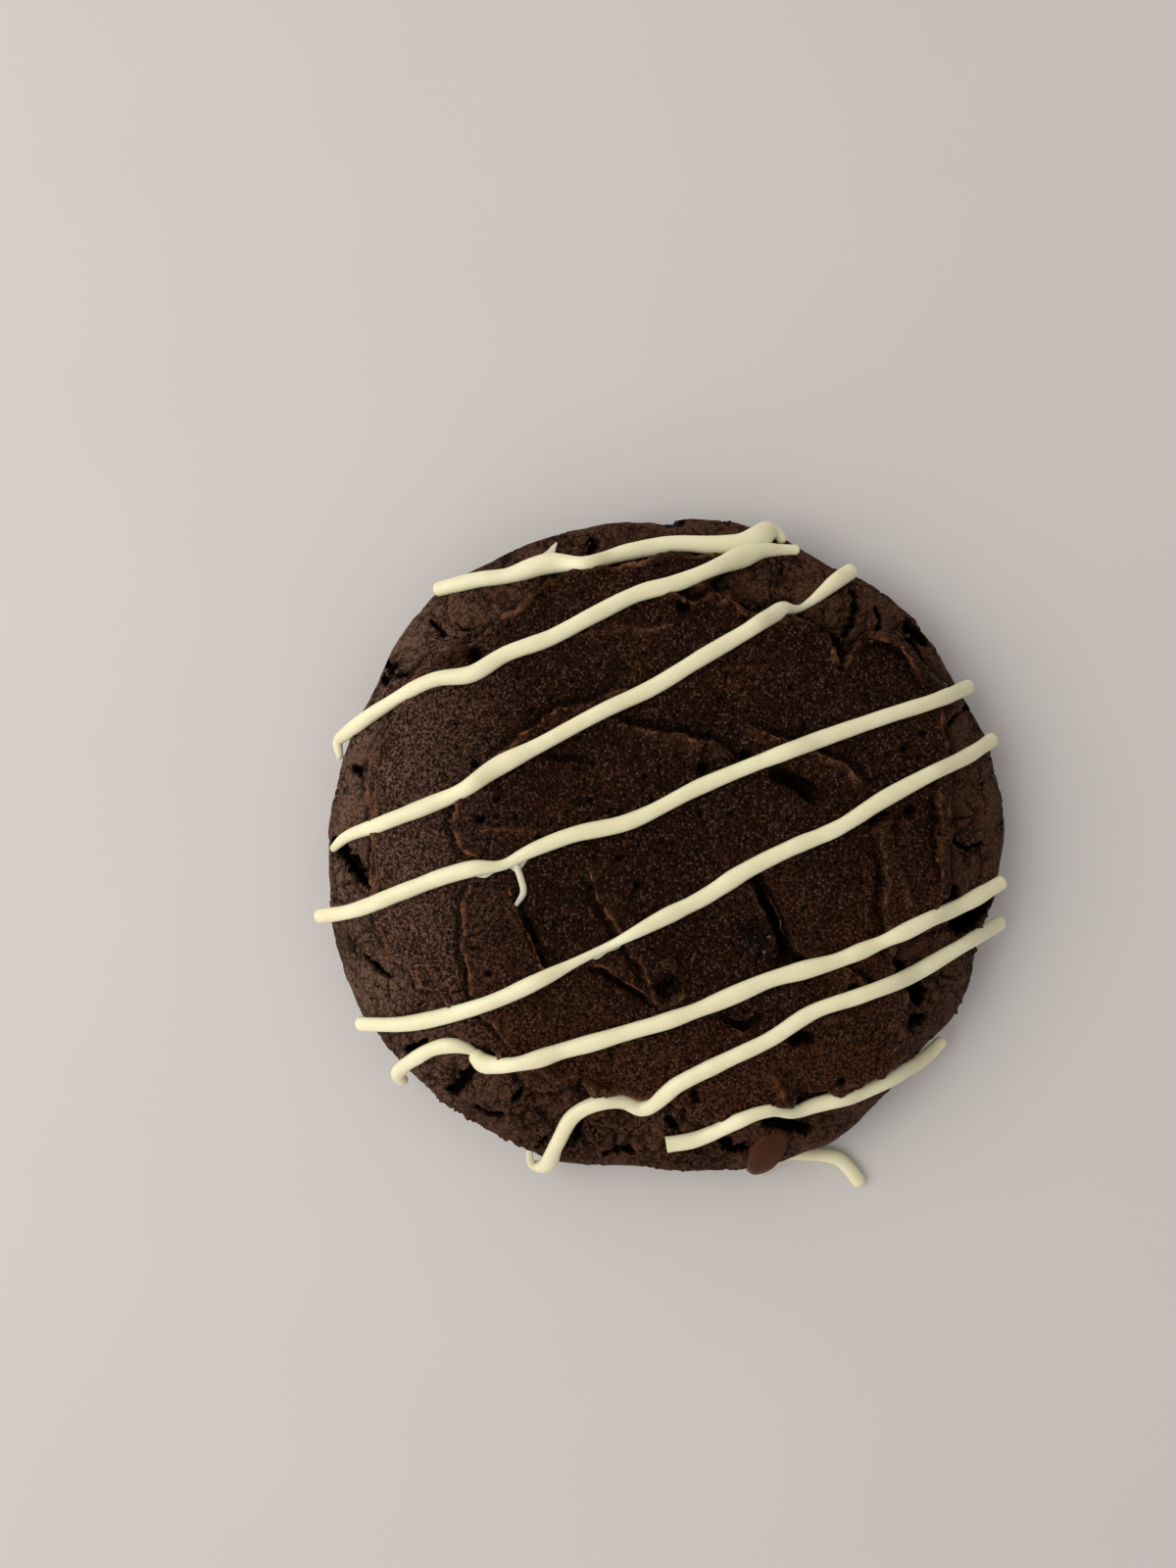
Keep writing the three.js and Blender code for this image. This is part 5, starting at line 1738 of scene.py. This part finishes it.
# %% The drip's finish and shape
MILK_CHOCOLATE = (0.050, 0.0145, 0.0045)
MILK_CHOCOLATE_LIGHT = (0.062, 0.0205, 0.0080)
DRIP_PLACE = (769, 1178)
DRIP_HALF_WIDTH = 1.25
DRIP_LOW = 3.3
DRIP_HIGH = 11.9
DRIP_THICKNESS = 0.80
DRIP_SPREAD = 3.8  # how much wider in mm each half of its top is
DRIP_LEAN = 0.080  # radians by which its top lies further round than its foot
DRIP_SQUARENESS = 0.80  # 1 makes an oval, less makes it squarer
DRIP_SIDES = 64
DRIP_RINGS = 14
DRIP_ROOT = 0.6  # how far its back lies inside the crust
DRIP_LIFT_RANGE = 4  # mm above the rim over which it comes to stand on the crust, not beside it


def milk_chocolate_material():
    constants = {"Specular IOR Level": 0.15, "Specular Tint": WARM_GLOSS}
    material, tree, shader, place = new_material("milk_chocolate", constants)
    cloud = noise_value(tree, place, 350.0, detail=2.0)
    fine = noise_value(tree, place, 2400.0, detail=2.0, seed=3.0)
    tone = mix_colours(tree, soft_step(tree, cloud, 0.3, 0.7), MILK_CHOCOLATE, MILK_CHOCOLATE_LIGHT)
    tree.links.new(tone, shader.inputs["Base Color"])
    tree.links.new(maths(tree, "MULTIPLY_ADD", cloud, 0.2, 0.35), shader.inputs["Roughness"])
    tree.links.new(add_bump(tree, fine, 0.03), shader.inputs["Normal"])
    return material


def side_radius(angles, heights):
    """Radius of the cookie's side at a height, below or above its widest line."""
    rim = rim_radius(angles)
    below = rim - FOOT_INSET * (1 - np.sqrt(np.clip(1 - (1 - heights / WIDEST_HEIGHT) ** 2, 0, 1)))
    risen = np.clip((heights - WIDEST_HEIGHT) / DOME_RISE, 0, 1)
    above = rim * (1 - risen**DOME_ROUNDNESS) ** (1 / DOME_SQUARENESS)
    return np.where(heights < WIDEST_HEIGHT, below, above)


def make_drip():
    middle_angle = angle_of(on_dome(DRIP_PLACE))[0]
    turns = np.arange(DRIP_SIDES) * 2 * np.pi / DRIP_SIDES
    half_height = 0.5 * (DRIP_HIGH - DRIP_LOW)

    sideways, upwards = np.cos(turns), np.sin(turns)
    sideways = np.sign(sideways) * np.abs(sideways) ** DRIP_SQUARENESS
    upwards = np.sign(upwards) * np.abs(upwards) ** DRIP_SQUARENESS

    def ring(share, standoff):
        heights = 0.5 * (DRIP_HIGH + DRIP_LOW) + share * half_height * upwards
        spread = np.clip(upwards, 0, None) ** 2
        width = DRIP_HALF_WIDTH + DRIP_SPREAD * spread
        across = width * sideways / COOKIE_RADIUS + DRIP_LEAN * spread
        angles = middle_angle + share * across
        radius = side_radius(angles, heights) + standoff
        lift = np.maximum(standoff, 0) * rise((heights - WIDEST_HEIGHT) / DRIP_LIFT_RANGE)
        return np.column_stack([radius * np.cos(angles), radius * np.sin(angles), heights + lift])

    shares = np.sin(np.linspace(0, np.pi / 2, DRIP_RINGS + 1)[1:])
    front = [ring(share, DRIP_THICKNESS * np.sqrt(max(1 - share**2, 0.0))) for share in shares]
    back = [ring(share, -DRIP_ROOT) for share in BACK_SHARES]
    rings = np.array([*front, *back])
    centres = [rings[0].mean(axis=0), rings[-1].mean(axis=0)]
    faces = ring_faces(len(rings), DRIP_SIDES)
    made = skin("milk_chocolate_run", np.vstack([rings.reshape(-1, 3), centres]), faces)
    made.data.materials.append(milk_chocolate_material())
    return made


drip = make_drip()
hand_over(drip, "milk_chocolate", "milk_chocolate_drip")

# %% [markdown]
# ## The floor and the light
#
# The cookie lies on a plain pale floor in soft light from all round, brighter on the left. The room is
# dark straight above. So the dark frosting mirrors nothing and shows its own colour where it lies level,
# and it turns greyer on slopes that face the light. The room is a sky that changes with direction, and
# one large soft lamp stands for a window.

# %% Floor, world and lamp
FLOOR_TONE = (0.683, 0.640, 0.603)
FLOOR_SIZE = 1.6
FLOOR_DROP = 0.02  # mm below the cookie's foot, so that the two never share a plane
FLOOR_CLOUD = 0.97  # how bright its darker clouds are
WINDOW_POWER = 1.02  # in watts
WINDOW_SIZE = 0.34
WINDOW_PLACE = (-0.31, 0.02, 0.36)
ROOM_TONE = (1.0, 0.985, 0.985)
ROOM_STRENGTH = 1.12
ROOM_MIDDLE = 0.70  # how bright the room is to the front and the back, with 1 for its brightest
ROOM_LEAN = -0.40  # how much brighter or darker it gets to the right
DARK_ABOVE = (0.80, 0.95)  # heights of the direction between which the room turns dark


def make_floor():
    half = FLOOR_SIZE / 2 / MM
    corners = [(x, y, -FLOOR_DROP) for x, y in ((-half, -half), (half, -half), (half, half), (-half, half))]
    floor = skin("floor", corners, [(0, 1, 2, 3)])
    constants = {"Specular IOR Level": 0.2, "Roughness": 0.85}
    material, tree, shader, place = new_material("pale_floor", constants)
    cloud = noise_value(tree, place, 40.0, detail=2.0)
    clouded = tuple(FLOOR_CLOUD * value for value in FLOOR_TONE)
    tree.links.new(mix_colours(tree, cloud, FLOOR_TONE, clouded), shader.inputs["Base Color"])
    floor.data.materials.append(material)


def make_window():
    data = bpy.data.lights.new("window", "AREA")
    data.energy = WINDOW_POWER
    data.size = WINDOW_SIZE
    lamp = bpy.data.objects.new("window", data)
    lamp.location = WINDOW_PLACE
    lamp.rotation_mode = "QUATERNION"
    lamp.rotation_quaternion = (-Vector(WINDOW_PLACE)).to_track_quat("-Z", "Y")
    bpy.context.scene.collection.objects.link(lamp)


def make_room():
    world = bpy.data.worlds.new("room")
    world.use_nodes = True
    tree = world.node_tree
    direction = add_node(tree, "ShaderNodeTexCoord").outputs["Generated"]
    parts = add_node(tree, "ShaderNodeSeparateXYZ", {0: direction}).outputs
    low, high = DARK_ABOVE
    side = maths(tree, "MULTIPLY_ADD", parts["X"], ROOM_LEAN, ROOM_MIDDLE)
    lit = maths(tree, "MULTIPLY", side, soft_step(tree, parts["Z"], high, low))
    back = tree.nodes["Background"]
    back.inputs["Color"].default_value = (*ROOM_TONE, 1)
    tree.links.new(maths(tree, "MULTIPLY", lit, ROOM_STRENGTH), back.inputs["Strength"])
    bpy.context.scene.world = world
    bpy.context.scene.view_settings.view_transform = "Standard"


make_floor()
make_window()
make_room()
print("lamp power in watts:", WINDOW_POWER)
